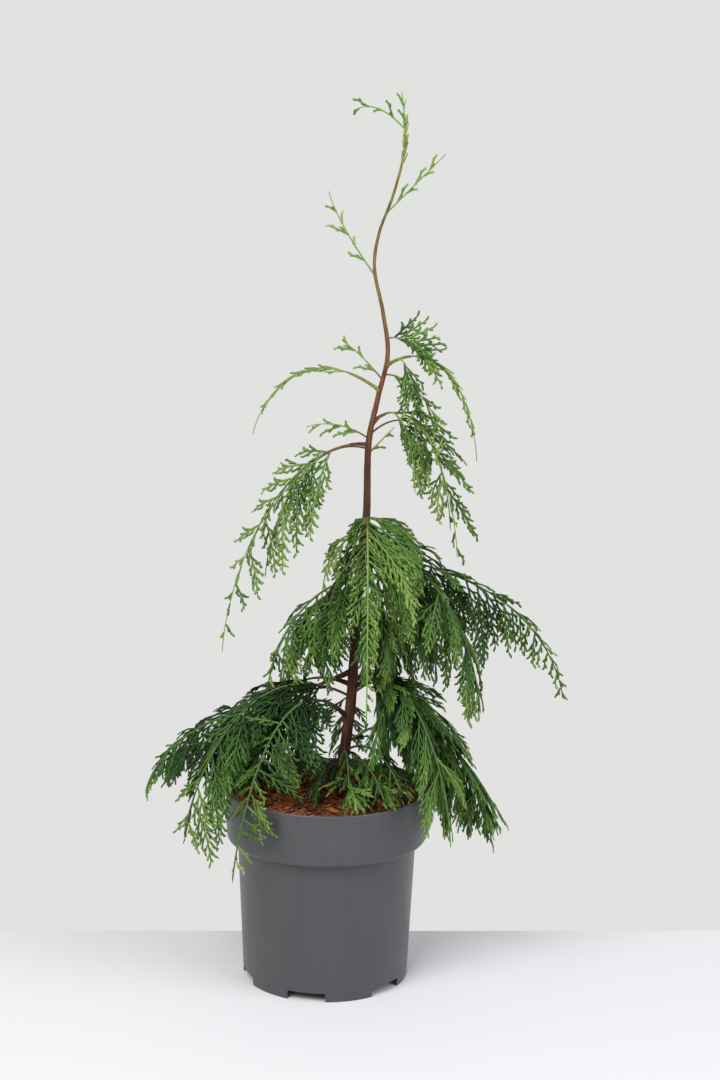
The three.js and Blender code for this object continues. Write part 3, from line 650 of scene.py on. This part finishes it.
def blocked(points):
    """True where a point lies in the pot, in the mix or in the trunk."""
    away = np.hypot(points[..., 0], points[..., 1])
    z = points[..., 2]
    mix = MIX_TOP + 1.5 - (MIX_TOP - MIX_EDGE) * np.clip((away - HEAP_RADIUS) / 70, 0, 1)
    wall = (away < COLLAR_RADIUS + 1.2) & (z < POT_HEIGHT + 0.8) & (z > COLLAR_FOOT)
    body = (away < BODY_RADIUS) & (z <= COLLAR_FOOT)
    over_mix = (away < COLLAR_RADIUS - 4) & (z > mix)
    centre, radius = trunk_at(np.clip(z, TRUNK[0, 0], TRUNK[-1, 0]))
    bark_near = np.hypot(*np.moveaxis(points[..., :2] - centre[..., :2], -1, 0)) < radius + 0.8
    return (wall | body) & ~over_mix | (bark_near & (z < TRUNK[-1, 0]))


def shortened(axes):
    """The axes that stay clear at full length, three quarters or half of it."""
    probe = np.linspace(0.2, 1, 7)
    shares = np.broadcast_to(probe, (len(axes.length), len(probe)))
    clear = np.zeros(len(axes.length), bool)
    whole = axes.length
    for part in (1, 0.75, 0.5):
        axes = axes.changed(length=np.where(clear, axes.length, whole * part))
        clear |= ~blocked(axes.place(shares)).any(1)
    return axes.kept(clear & (axes.length > 5))


def unblocked(axes):
    """The axes that are clear near their end."""
    return axes.kept(~blocked(axes.place(np.full(len(axes.length), 0.9))))


# %% [markdown]
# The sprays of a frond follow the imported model's rule, with one to eight for each one there. They
# leave the limb left and right in turn, rolled about it, so that it is clothed all round. A spray
# that would run into the pot, the mix or the trunk is tried shorter, and then left out.

# %% Where sprays leave, and their length


def spray_places(index, f, start, stop):
    """Numbers and places of the sprays between two shares of a frond, evenly spread but for chance."""
    share = stop - start
    count = max(2, round(f["fine"] * f["sprays"] * share / (1 - f["bare"])))
    first = max((f["clear"] - start) / share, 0.1 if start == 0 else 0.03)
    last = 0.975 if stop == 1 else 1.0
    k = np.arange(count)
    jitter = chance(index, k, round(start * 10)) - 0.5
    return k, start + share * (first + (last - first) * (k + 0.5 + 0.5 * jitter) / count)


def spray_headings(index, f, k, t, side, over):
    """Directions in which sprays leave the limb, and how far above it, from 0 to 1.

    Outward is across the limb, rolled about it and tipped down by dip. A spray leaves between the
    limb's direction and outward, at the angle open. Those that lie over the limb hardly roll.
    """
    along, across = frond_along(f, t), level_across(f)
    upward = unit(np.cross(across, along))
    upward = upward * np.where(upward[:, 2:] < 0, -1, 1)
    roll = np.radians(f["roll"] + f["spread"] * (2 * chance(index, k, 3) - 1))
    roll = np.where(over, np.radians(24 * (chance(index, k, 6) - 0.5)), roll)
    above = np.abs(np.sin(roll)) * (side < 0)
    angle = np.radians(f["open"] + f["fan"] * (2 * chance(index, k, 4) - 1))
    angle = (angle * np.where(over, 0.5, lerp(1, 0.66, above)))[:, None]
    level = across * side[:, None] * np.cos(roll)[:, None]
    outward = unit(level - upward * (side * np.sin(roll) + f["dip"])[:, None])
    return unit(along * np.cos(angle) + outward * np.sin(angle)), above


def spray_profile(f, t):
    """A spray's share of the full length: less at the trunk and towards the frond's tip."""
    rise = np.minimum(1, f["start"] + 2.2 * t)
    return rise * (1 - f["fall"] * t**1.5) * np.clip((1.02 - t) / f["taper"], 0.27, 1)


def spray_lengths(index, f, k, t, side, over, above):
    """Lengths of sprays in mm: spray times the profile, chance, and the looks of their side."""
    size = f["size"] * (1 + f["lean"] * side) * (0.8 + 0.36 * chance(index, k, 5))
    size = size * np.where(over, f["cover"], 1)
    higher = lerp(1, f["upper"] * lerp(f["crest"], 2.3 - f["crest"], t), above)
    return size * f["spray"] * spray_profile(f, t) * higher


# %% Sprays


def turned_about(vectors, axis, angle):
    """Vectors turned about a unit axis: v cos + (axis x v) sin + axis (axis . v) (1 - cos)."""
    c, s = np.cos(angle)[..., None], np.sin(angle)[..., None]
    lengthwise = axis * (axis * vectors).sum(-1, keepdims=True) * (1 - c)
    return vectors * c + np.cross(axis, vectors) * s + lengthwise


def make_sprays(index, f, start, stop):
    """The sprays between two shares of a frond, as axes that hang from its stem."""
    k, t = spray_places(index, f, start, stop)
    side = np.where(k % 2 == 0, 1.0, -1.0)
    over = (k % 4 > 1) & (f["cover"] > 0)
    heading, above = spray_headings(index, f, k, t, side, over)
    tail = f["tail"] if f["split"] > 0 and start >= f["split"] else 1
    along, every = frond_along(f, t), np.ones(len(k))
    outwards = f["swing"] + f["sweep"] * (t[:, None] - 0.5)
    axes = Axes(
        root=frond_at(f, t), heading=heading, pull=unit(DOWN + outwards * heading_of(f)),
        length=spray_lengths(index, f, k, t, side, over, above) * tail,
        bend=f["droop"] * np.where(over, 0.5, lerp(1, 0.4, above)), across=along,
        frond=np.full(len(k), index), t=t, rank=k.astype(float), shade=chance(index, k, 8),
        # The tone rises by glow from trunk to tip: partly lighter new growth, partly painted light,
        # with the lit outer sprays lighter than the shaded inner ones.
        tone=f["tone"] + f["glow"] * (t - 0.5), age=f["age"] * every, hang=f["hang"] * every,
        spur=f["spur"] * every)
    spin = np.radians(f["twist"] + 34 * (chance(index, k, 9) - 0.5))
    return shortened(axes.changed(across=turned_about(along, axes.along(0.7 * every), spin)))


def masses(fronds):
    """Each mass of some fronds: its node's name, its frond's number and its two shares."""
    for index, f in enumerate(fronds):
        if f["split"] > 0:
            yield f"foliage_{f['name']}_inner", index, f["bare"], f["split"]
            yield f"foliage_{f['name']}_outer", index, f["split"], 1
        else:
            yield f"foliage_{f['name']}", index, f["bare"], 1


ALL_FRONDS = FRONDS + INNER_FRONDS
sprays = gathered([make_sprays(index, ALL_FRONDS[index], start, stop)
                   for _, index, start, stop in masses(ALL_FRONDS)])
print("sprays:", len(sprays.length), "mean length", round(float(sprays.length.mean()), 1))

# %% [markdown]
# Twigs and shoots. A twig is longest a fifth of the way along its spray. Old shaded sprays have
# long twigs at a narrow angle, which look like parallel strands. Young ones have short twigs at
# a wide angle, which look like antlers. A shoot is the last segment, wrapped in scale leaves.

# %% Branching


def branch(parents, spacing, begin, end, seed, angle, bend, lift, hang, length_of):
    """Child axes at alternate sides of their parents, spacing mm apart, in the parents' planes.

    They stand between the shares begin and end, open by angle, and leave the plane by up to lift
    degrees. A child is pulled towards (1 - h) of its parent's direction plus h of straight down,
    where h is the frond's hang times the given one.
    """
    per = np.maximum(2, np.round(parents.length * (end - begin) / spacing)).astype(int)
    owner = np.repeat(np.arange(len(per)), per)
    rank = np.arange(per.sum()) - np.repeat(np.cumsum(per) - per, per)
    own = parents.kept(owner)
    key = own.frond * 3.1 + own.t * 57 + own.rank * 0.37
    s = begin + (end - begin) * (rank + 0.5 + 0.4 * (chance(key, rank, seed) - 0.5)) / per[owner]
    side = np.where(rank % 2 == 0, 1.0, -1.0)[:, None]
    along = own.along(s)
    width = unit(own.across - (own.across * along).sum(-1, keepdims=True) * along)
    normal = np.cross(along, width)
    opened = np.radians(angle[owner] + 12 * (chance(key, rank, seed + 1) - 0.5))[:, None]
    lifted = np.radians(lift * (2 * chance(key, rank, seed + 2) - 1))[:, None]
    sideways = width * side * np.cos(lifted) + normal * np.sin(lifted)
    heading = unit(along * np.cos(opened) + sideways * np.sin(opened))
    length = length_of(own, s) * (0.8 + 0.4 * chance(key, rank, seed + 3))
    weight = (hang[owner] * own.hang)[:, None]
    return own.changed(
        root=own.place(s), heading=heading, pull=unit(along * (1 - weight) + DOWN * weight),
        length=length, bend=bend[owner], across=np.cross(normal, heading), t=own.t + 0.01 * s,
        # Twigs and shoots towards a spray's tip get a lighter green: partly new growth, partly painted
        # light on the lit outer ends.
        rank=rank.astype(float), tone=own.tone + 1.5 * (s - 0.45))


def twig_length(own, s):
    """A share of the spray's length, at most 24 to 50 mm, that swells and then falls to the tip."""
    longest = np.minimum(lerp(24, 50, own.age), own.length * lerp(0.38, 0.56, own.age))
    fall = (1 - lerp(0.9, 0.8, own.age) * s) ** 1.1
    return np.maximum(longest * np.minimum(1, 0.55 + 2.2 * s) * fall, lerp(4.5, 8, own.age))


def shoot_length(own, s):
    """A share of the twig's length, from 4 to 19 mm, shorter towards the twig's tip."""
    share = own.length * lerp(0.42, 0.55, own.age) * (1 - 0.6 * s)
    return np.clip(share, lerp(4.2, 7, own.age), 19)


# %% Twigs and shoots
LEADER_SPURS = np.arange(802, 840, 3.6)
SPUR_TURN = 2.4


def make_leader_spurs():
    """Short shoots close along the leader's last 40 mm, each turned on by 2.4 radians.

    They are 8 to 12 mm long. Their spur is 0, which marks axes that bear nothing.
    """
    k = np.arange(len(LEADER_SPURS))
    place, radius = trunk_at(LEADER_SPURS)
    along = unit(trunk_at(LEADER_SPURS + 2)[0] - trunk_at(LEADER_SPURS - 2)[0])
    angle = SPUR_TURN * k
    outward = np.stack([np.cos(angle), np.sin(angle), 0 * angle], -1)
    tilt = np.radians(16 + 8 * chance(k, 1, 5))[:, None]
    every = np.ones(len(k))
    return Axes(root=place + outward * (0.5 * radius)[:, None],
                heading=unit(along * np.cos(tilt) + outward * np.sin(tilt)), pull=along,
                length=8 + 4 * chance(k, 2, 5), bend=0.8 * every, across=np.cross(along, outward),
                frond=0 * k, t=every, rank=k.astype(float), shade=chance(k, 3, 5), tone=5 * every,
                age=0 * every, hang=0 * every, spur=0 * every)


twigs = unblocked(branch(sprays, spacing=lerp(5.4, 4.4, sprays.age), begin=0.06, end=0.985, seed=11,
                         angle=sprays.spur, bend=lerp(0.2, 0.7, sprays.age), lift=11,
                         hang=lerp(0.4, 0.9, sprays.age), length_of=twig_length))
twigs = gathered([twigs, make_leader_spurs()])
bearing = twigs.kept((twigs.length > lerp(6.5, 12, twigs.age)) & (twigs.spur > 0))
shoots = unblocked(branch(bearing, spacing=lerp(4.5, 7.5, bearing.age), begin=0.14, end=0.92, seed=21,
                          angle=lerp(1, 0.8, bearing.age) * bearing.spur,
                          bend=lerp(0.1, 0.4, bearing.age), lift=8,
                          hang=lerp(0.2, 0.5, bearing.age), length_of=shoot_length))
print("twigs:", len(twigs.length), "shoots:", len(shoots.length))

# %% [markdown]
# Scale leaves lie flat on every young axis, so a shoot is a small flattened spindle, green all
# over and satin. Its colours are plain base colours dealt out by spray, and they get brighter
# towards the tips, partly as new growth and partly as painted light: outer tips lit, inner shoots
# in shade. The stems turn from red brown through olive to green.

# %% Foliage finish
# From deep green to lime. The deepest greens, given to inner and lower sprays, also stand in for the
# shade inside the foliage.
GREENS = ["#132c0a", "#1f4213", "#395a25", "#4f712d", "#6c893f", "#8ba250", "#a7b45f"]
STEMS = ["#5c3627", "#66512c", "#556030", "#42602b", "#7a8240", "#6f9140"]


def make_leaf(name, colour):
    """Scale leaves: a thin waxy skin, satin, that hardly mirrors anything."""
    material, shader = start_material(name, colour, 0.45, 1.45)
    shader.inputs["Specular IOR Level"].default_value = 0.32
    return material


leaf_materials = [make_leaf(f"scale_leaves_{k}", colour) for k, colour in enumerate(GREENS)]
stem_materials = [start_material(f"green_bark_{k}", colour, 0.6, 1.45)[0]
                  for k, colour in enumerate(STEMS)]

# %% Foliage pieces
# For each kind of axis: the shares at which its rings and its tip lie, and its rings' widths.
SPRAY_SHARES, SPRAY_WIDTHS = np.linspace(0, 1, 9), np.linspace(1.3, 0.95, 8)
TWIG_SHARES, TWIG_WIDTHS = [0, 0.35, 0.7, 0.93, 1], [0.75, 1, 0.95, 0.8]
SHOOT_SHARES, SHOOT_WIDTHS = [0, 0.55, 1], [0.75, 1]
STEM_RINGS, STEM_SIDES = 60, 6
OLD_STEM, YOUNG_STEM = np.array([0, 1, 2, 3]), np.array([0, 1, 4, 5])


def leaf_tone(axes, seed):
    """The number of the green of each axis: its frond's tone, moved by its spray and by chance."""
    luck = chance(axes.frond + axes.t * 91, axes.rank, seed)
    wander = 1.8 * (axes.shade - 0.5) + 1.1 * (luck - 0.5)
    return np.clip(np.round(axes.tone + wander), 0, len(GREENS) - 1).astype(int)


def spindle_parts(axes, shares, widths, half_width, flatness, seed):
    """Tubes of three corners along axes, with half_width mm times the given widths."""
    s = np.broadcast_to(np.array(shares), (len(axes.length), len(shares)))
    wide = half_width[:, None] * np.array(widths)
    points, faces, _, owner = tubes(axes.place(s), axes.along(s), axes.across, wide,
                                    wide * flatness, 3)
    return points, faces, leaf_tone(axes, seed)[owner]


def foliage_parts(group_of):
    """The tubes of one group that scale leaves clothe: the axes of sprays, twigs and shoots."""
    some_sprays, some_twigs, some_shoots = (
        axes.kept(group_of[axes.frond]) for axes in (sprays, twigs, shoots))
    spray_wide = np.ones(len(some_sprays.length))
    twig_wide = lerp(1.45, 1.12, some_twigs.age)
    shoot_wide = lerp(1.4, 1.1, some_shoots.age)
    return joined([
        spindle_parts(some_sprays, SPRAY_SHARES, SPRAY_WIDTHS, spray_wide, 0.8, 30),
        spindle_parts(some_twigs, TWIG_SHARES, TWIG_WIDTHS, twig_wide, 0.62, 31),
        spindle_parts(some_shoots, SHOOT_SHARES, SHOOT_WIDTHS, shoot_wide, 0.62, 32),
    ])


def stem_part(f):
    """A frond's stem, in four colours from trunk to tip. Fronds high up start with a later one."""
    t = np.linspace(f["bare"], 1, STEM_RINGS)
    radius = limb_radius(f, t[:-1])[None]
    points, faces, ring, _ = tubes(frond_at(f, t)[None], frond_along(f, t)[None],
                                   level_across(f)[None], radius, radius, STEM_SIDES)
    later = np.clip((f["at"] - 560) / 70, 0, 2.6)
    step = np.clip(np.round(7.5 * t[ring] - 0.4 + later), 0, 3).astype(int)
    return points, faces, (YOUNG_STEM if f["tone"] > 2.7 else OLD_STEM)[step]


for group in dict.fromkeys(f["group"] for f in FRONDS):
    group_of = np.array([f["group"] == group for f in ALL_FRONDS])
    nodes = [name for name, index, _, _ in masses(FRONDS) if group_of[index]]
    points, faces, slots = foliage_parts(group_of)
    make_piece(f"shoots_{group}", points, faces, leaf_materials, slots, nodes)
    points, faces, slots = joined([stem_part(f) for f in ALL_FRONDS if f["group"] == group])
    make_piece(f"stems_{group}", points, faces, stem_materials, slots)

# %% [markdown]
# The pot is injection moulded polypropylene: a tapered wall, a collar that swells out near the
# top, a rounded lip, a hollow underside and six drain notches through the corner of the foot. It
# is one profile turned about the upright axis, with its corners rounded, and the notches are cut
# by a Boolean.

# %% Pot
BASE, FOOT_RADIUS = 14.0, 82.5
POT_SEGMENTS, SHARP_EDGE = 224, np.radians(38)
NOTCH_COUNT, FIRST_NOTCH = 6, -42
NOTCH_WIDTH, NOTCH_HEIGHT, NOTCH_DEPTH, NOTCH_CORNER = 38, 9, 13, 2.0
POT_PROFILE = [
    (80, 11.5, 1), (80.2, 0, 0.6), (FOOT_RADIUS, 0, 0.8), (88.9, 137.2, 1), (94.6, 139.6, 1.6),
    (99.6, 143.4, 2.4), (100.4, 154, 5), (COLLAR_RADIUS, 188, 2), (COLLAR_RADIUS, POT_HEIGHT, 1.4),
    (98.8, POT_HEIGHT, 0.8), (98.2, 155, 6), (86.8, 138, 4), (80.9, BASE, 1.5),
]


def rounded(profile, steps=6):
    """The profile with each corner (r, z, radius) drawn as a curve between points near it.

    The curve is (1 - u)^2 p + 2 u (1 - u) corner + u^2 q, where p and q lie on the two sides.
    """
    corners = np.array([point[:2] for point in profile], float)
    u = np.linspace(0, 1, steps)[:, None]
    curves = []
    ends = np.concatenate([[[0, corners[0, 1]]], corners, [[0, corners[-1, 1]]]])
    for k, (r, z, radius) in enumerate(profile):
        corner = np.array([r, z])
        p = corner + unit(ends[k] - corner) * radius
        q = corner + unit(ends[k + 2] - corner) * radius
        curves.append((1 - u) ** 2 * p + 2 * u * (1 - u) * corner + u**2 * q)
    return np.concatenate(curves)


def level_rings(profile, segments):
    """Rings of points about the upright axis: (r cos a, r sin a, z) for each (r, z)."""
    angle = np.arange(segments) * 2 * np.pi / segments
    r, z = profile[:, 0, None], profile[:, 1, None]
    return np.stack([r * np.cos(angle), r * np.sin(angle), z + 0 * angle], -1)


def turned(profile, segments):
    """Points and triangles of a closed shape: the profile turned about the upright axis."""
    points = level_rings(profile, segments).reshape(-1, 3)
    faces, _ = ring_faces(len(profile), segments)
    return np.concatenate([points, [[0, 0, profile[-1, 1]]]]), faces


def notch_cutter():
    """Six boxes with rounded upper corners that reach through the corner of the foot."""
    half, top, corner = NOTCH_WIDTH / 2, NOTCH_HEIGHT, NOTCH_CORNER
    bend = np.linspace(0, np.pi / 2, 5)
    right = np.stack([half - corner + corner * np.cos(bend), top - corner + corner * np.sin(bend)], -1)
    outline = np.concatenate([[[half, -top]], right, right[::-1] * [-1, 1], [[-half, -top]]])
    count = len(outline)
    i = np.arange(count)
    j = (i + 1) % count
    wall = np.stack([i, j + count, i + count, i, j, j + count], -1).reshape(-1, 3)
    m = np.arange(1, count - 1)
    near, far = np.stack([0 * m, m + 1, m], -1), np.stack([0 * m, m, m + 1], -1) + count
    faces = np.concatenate([wall, near, far])
    parts = []
    for angle in np.radians(FIRST_NOTCH + 360 / NOTCH_COUNT * np.arange(NOTCH_COUNT)):
        out = np.array([np.cos(angle), np.sin(angle), 0])
        side = np.array([-np.sin(angle), np.cos(angle), 0])
        flat = outline[:, :1] * side + outline[:, 1:] * [0, 0, 1]
        inner, outer = FOOT_RADIUS + 2 - NOTCH_DEPTH, FOOT_RADIUS + 6
        points = np.concatenate([flat + out * inner, flat + out * outer])
        parts.append((points, faces, np.zeros(len(faces), int)))
    return joined(parts)


# %% Pot finish


def make_moulded_plastic():
    """Polypropylene, injection moulded: satin, with faint clouds and flow streaks.

    The clouds are 38 mm wide and the streaks 11 mm. The mould's grain is finer than 0.1 mm on a
    real pot, and is drawn at 0.7 mm, so that it shows.
    """
    material, shader = start_material("polypropylene_moulded", "#434447", 0.36, 1.49)
    tree = material.node_tree
    place = add_node(tree, "ShaderNodeTexCoord")
    cloud = add_node(tree, "ShaderNodeTexNoise", {"Scale": 26.0, "Detail": 4.0, "Roughness": 0.6},
                     {"Vector": place.outputs["Object"]})
    flow = add_node(tree, "ShaderNodeMapping", {"Scale": (1.0, 1.0, 0.12)},
                    {"Vector": place.outputs["Object"]})
    streak = add_node(tree, "ShaderNodeTexNoise", {"Scale": 90.0, "Detail": 3.0},
                      {"Vector": flow.outputs["Vector"]})
    both = add_node(tree, "ShaderNodeMath", {"operation": "ADD"},
                    {0: cloud.outputs["Fac"], 1: streak.outputs["Fac"]})
    half = add_node(tree, "ShaderNodeMath", {"operation": "MULTIPLY", 1: 0.5},
                    {0: both.outputs["Value"]})
    shade = add_node(tree, "ShaderNodeValToRGB", links={"Fac": half.outputs["Value"]},
                     stops=[(0.3, "#404144"), (0.52, "#434447"), (0.75, "#48494c")])
    tree.links.new(shade.outputs["Color"], shader.inputs["Base Color"])
    rough = add_node(tree, "ShaderNodeMapRange", {"To Min": 0.3, "To Max": 0.42},
                     {"Value": cloud.outputs["Fac"]})
    tree.links.new(rough.outputs["Result"], shader.inputs["Roughness"])
    grain = add_node(tree, "ShaderNodeTexNoise", {"Scale": 1400.0, "Detail": 2.0},
                     {"Vector": place.outputs["Object"]})
    bump = add_node(tree, "ShaderNodeBump", {"Strength": 0.18, "Distance": 0.0002},
                    {"Height": grain.outputs["Fac"]})
    tree.links.new(bump.outputs["Normal"], shader.inputs["Normal"])
    return material


def make_pot():
    """The turned shell with its notches cut away, smooth but for its sharp edges."""
    points, faces = turned(rounded(POT_PROFILE), POT_SEGMENTS)
    pot = make_piece("pot_shell", points, faces, [make_moulded_plastic()],
                     replaced=["pot"])
    points, faces, _ = notch_cutter()
    cutter = make_piece("notch_cutter", points, faces, [])
    cut = pot.modifiers.new("notches", "BOOLEAN")
    cut.operation, cut.object, cut.solver = "DIFFERENCE", cutter, "MANIFOLD"
    evaluated = pot.evaluated_get(bpy.context.evaluated_depsgraph_get())
    mesh = bpy.data.meshes.new_from_object(evaluated)
    pot.modifiers.clear()
    pot.data = mesh
    bpy.data.objects.remove(cutter)
    mesh.set_sharp_from_angle(angle=SHARP_EDGE)
    print("pot faces after the cut:", len(mesh.polygons))
    return pot


make_pot()

# %% [markdown]
# The potting mix is coarse bark fibre and peat. A bumpy turned body fills the pot, and some
# thousands of loose chips lie on it, each a bent box of eight corners in one of five browns.

# %% Potting mix
MIX_RINGS, MIX_SEGMENTS = 90, 200
CHIP_COLOURS = ["#522b1a", "#7a4228", "#a05b31", "#c07540", "#8c4e2d"]
CHIP_COUNT, CHIP_SHORTEST, CHIP_LONGEST = 4200, 2.5, 19.0
MIX_SIDE = np.array([(80.4, BASE + 0.3), (86.4, 138.0), (97.6, 156.0)])
MIX_RADIUS, MIX_CENTRE = 97.9, 1.2


def mix_height(x, y):
    """Height of the mix's surface: level near the wall, heaped at the trunk, and lumpy.

    The heap falls from MIX_TOP to MIX_EDGE, the mound on it is 7 e^(-(away / 52)^2), and the lumps
    are two noises, 15 mm and 6 mm wide.
    """
    away = np.hypot(x, y)
    heap = lerp(MIX_TOP, MIX_EDGE, np.clip((away - HEAP_RADIUS) / 66, 0, 1))
    place = np.stack([x, y, 0 * x], -1)
    lumps = 8 * (noise(place / 15 + 3.1) - 0.5) + 4.5 * (noise(place / 6 + 9.7) - 0.5)
    mound = 7 * np.exp(-((away / 52) ** 2))
    return heap + mound + lumps * np.clip((99 - away) / 12, 0.3, 1) - 0.6


def make_mix_body():
    """The mix as a closed body: its rings climb inside the wall, then close in over the top."""
    away = np.linspace(MIX_RADIUS, MIX_CENTRE, MIX_RINGS)
    top = level_rings(np.stack([away, 0 * away], -1), MIX_SEGMENTS)
    top[..., 2] = mix_height(top[..., 0], top[..., 1])
    points = np.concatenate([level_rings(MIX_SIDE, MIX_SEGMENTS), top]).reshape(-1, 3)
    faces, _ = ring_faces(len(MIX_SIDE) + MIX_RINGS, MIX_SEGMENTS)
    middle = np.array([[0, 0, float(mix_height(np.zeros(1), np.zeros(1))[0])]])
    return np.concatenate([points, middle]), faces


def make_chips():
    """Loose chips of bark: boxes 2.5 to 19 mm long, bent and tapered, lying on the mix at random.

    Most are short: the length grows with the power 2.6 of chance. A corner lies at its sign times
    half the box, times 0.7 to 1.3.
    """
    k = np.arange(CHIP_COUNT)
    size = lerp(CHIP_SHORTEST, CHIP_LONGEST, chance(k, 3, 1) ** 2.6)
    away, angle = (96 - size / 2) * np.sqrt(chance(k, 1, 1)), 2 * np.pi * chance(k, 1, 2)
    x, y = away * np.cos(angle), away * np.sin(angle)
    centre = np.stack([x, y, mix_height(x, y) + 0.5 * chance(k, 1, 3)], -1)
    turn, tilt = 2 * np.pi * chance(k, 2, 1), np.radians(64) * (chance(k, 2, 2) - 0.5)
    long = np.stack([np.cos(turn) * np.cos(tilt), np.sin(turn) * np.cos(tilt), np.sin(tilt)], -1)
    wide = unit(np.cross(long, [0, 0, 1.0]) + 0.5 * (chance(k, 2, 3) - 0.5)[:, None] * [0, 0, 1.0])
    thick = np.cross(long, wide)
    half_wide, half_thick = lerp(0.5, 2.6, chance(k, 3, 2) ** 1.5), lerp(0.3, 0.9, chance(k, 3, 3))
    half = np.stack([size / 2, half_wide, half_thick], -1)
    corner = np.array([[i, j, m] for i in (-1, 1) for j in (-1, 1) for m in (-1, 1)], float)
    warp = 0.7 + 0.6 * chance(k[:, None, None], np.arange(8)[:, None], [4, 5, 6])
    bent = corner[None] * half[:, None] * warp
    offset = sum(bent[..., i, None] * v[:, None] for i, v in enumerate((long, wide, thick)))
    points = centre[:, None] + offset
    faces = np.array([[0, 1, 3], [0, 3, 2], [4, 6, 7], [4, 7, 5], [0, 4, 5], [0, 5, 1],
                      [2, 3, 7], [2, 7, 6], [0, 2, 6], [0, 6, 4], [1, 5, 7], [1, 7, 3]])
    colours = (len(CHIP_COLOURS) * chance(k, 7, 7)).astype(int)
    slots = np.repeat(colours, len(faces))
    faces = (faces[None] + (8 * k)[:, None, None]).reshape(-1, 3)
    return points.reshape(-1, 3), faces, slots


# %% Mix finish


def make_mix_finish():
    """Damp bark fibre and peat: dull, red brown, with painted shade in the hollows between crumbs of 3
    mm.
    """
    material, shader = start_material("bark_fibre_mix", "#4f2a19", 0.93, 1.4)
    tree = material.node_tree
    place = add_node(tree, "ShaderNodeTexCoord")
    crumb = add_node(tree, "ShaderNodeTexNoise", {"Scale": 330.0, "Detail": 5.0, "Roughness": 0.7},
                     {"Vector": place.outputs["Object"]})
    # The low parts of the crumb noise, which the bump sinks, are painted dark as shade in the hollows.
    shade = add_node(tree, "ShaderNodeValToRGB", links={"Fac": crumb.outputs["Fac"]},
                     stops=[(0.34, "#2c170e"), (0.5, "#643a24"), (0.66, "#a0623a")])
    tree.links.new(shade.outputs["Color"], shader.inputs["Base Color"])
    bump = add_node(tree, "ShaderNodeBump", {"Strength": 1.0, "Distance": 0.0015},
                    {"Height": crumb.outputs["Fac"]})
    tree.links.new(bump.outputs["Normal"], shader.inputs["Normal"])
    return material


mix_points, mix_faces = make_mix_body()
make_piece("potting_mix_body", mix_points, mix_faces, [make_mix_finish()],
           replaced=["potting_mix"])
chip_points, chip_faces, chip_slots = make_chips()
chip_materials = [make_grained(f"bark_chip_{k}", colour, 0.9, 1.4, 800.0, "#a59c95", 0.0004)
                  for k, colour in enumerate(CHIP_COLOURS)]
chips = make_piece("potting_mix_chips", chip_points, chip_faces, chip_materials, chip_slots)
chips.data.polygons.foreach_set("use_smooth", np.zeros(len(chip_faces), bool))

# %% [markdown]
# The stage is a plain pale floor under soft light: a wide soft lamp high on the left in front,
# a weaker one on the right, and a pale surround.

# %% Floor and light
FLOOR_HALF, FLOOR_END_LEFT, FLOOR_END_RIGHT = 6000.0, -132, 340


def make_floor():
    """A pale floor 12 m wide that ends just behind the pot, where the background begins."""
    half = FLOOR_HALF
    corners = np.array([[-half, -half, 0], [half, -half, 0], [half, FLOOR_END_RIGHT, 0],
                        [-half, FLOOR_END_LEFT, 0]])
    mesh = bpy.data.meshes.new("floor")
    mesh.from_pydata((corners * MM).tolist(), [], [[0, 1, 2, 3]])
    floor = bpy.data.objects.new("floor", mesh)
    mesh.materials.append(start_material("painted_floor", "#e2e3e7", 0.7)[0])
    bpy.context.collection.objects.link(floor)
    return floor


def make_lamp(name, place, target, size, watts, colour):
    """A square soft lamp at place that faces target, in metres."""
    data = bpy.data.lights.new(name, "AREA")
    data.shape, data.size, data.energy = "SQUARE", size, watts
    data.color = linear(colour)[:3]
    lamp = bpy.data.objects.new(name, data)
    lamp.location = place
    lamp.rotation_euler = (Vector(target) - Vector(place)).to_track_quat("-Z", "Y").to_euler()
    bpy.context.collection.objects.link(lamp)
    return lamp


def make_surround(seen, shed):
    """A pale surround that is seen at one strength and sheds soft light at another."""
    world = bpy.data.worlds.new("surround")
    world.use_nodes = True
    tree = world.node_tree
    backdrop = tree.nodes["Background"]
    backdrop.inputs["Color"].default_value = linear("#e6e6e4")
    ray = add_node(tree, "ShaderNodeLightPath")
    strength = add_node(tree, "ShaderNodeMapRange", {"To Min": seen, "To Max": shed},
                        {"Value": ray.outputs["Is Diffuse Ray"]})
    tree.links.new(strength.outputs["Result"], backdrop.inputs["Strength"])
    bpy.context.scene.world = world


make_floor()
make_lamp("lamp_left", (-1.1, -1.9, 2.4), (0, 0, 0.4), 1.8, 89, "#fffdf9")
make_lamp("lamp_right", (1.9, -1.2, 1.6), (0, 0, 0.4), 1.8, 37, "#f6f9ff")
make_surround(0.96, 0.46)
bpy.context.scene.view_settings.view_transform = "Standard"
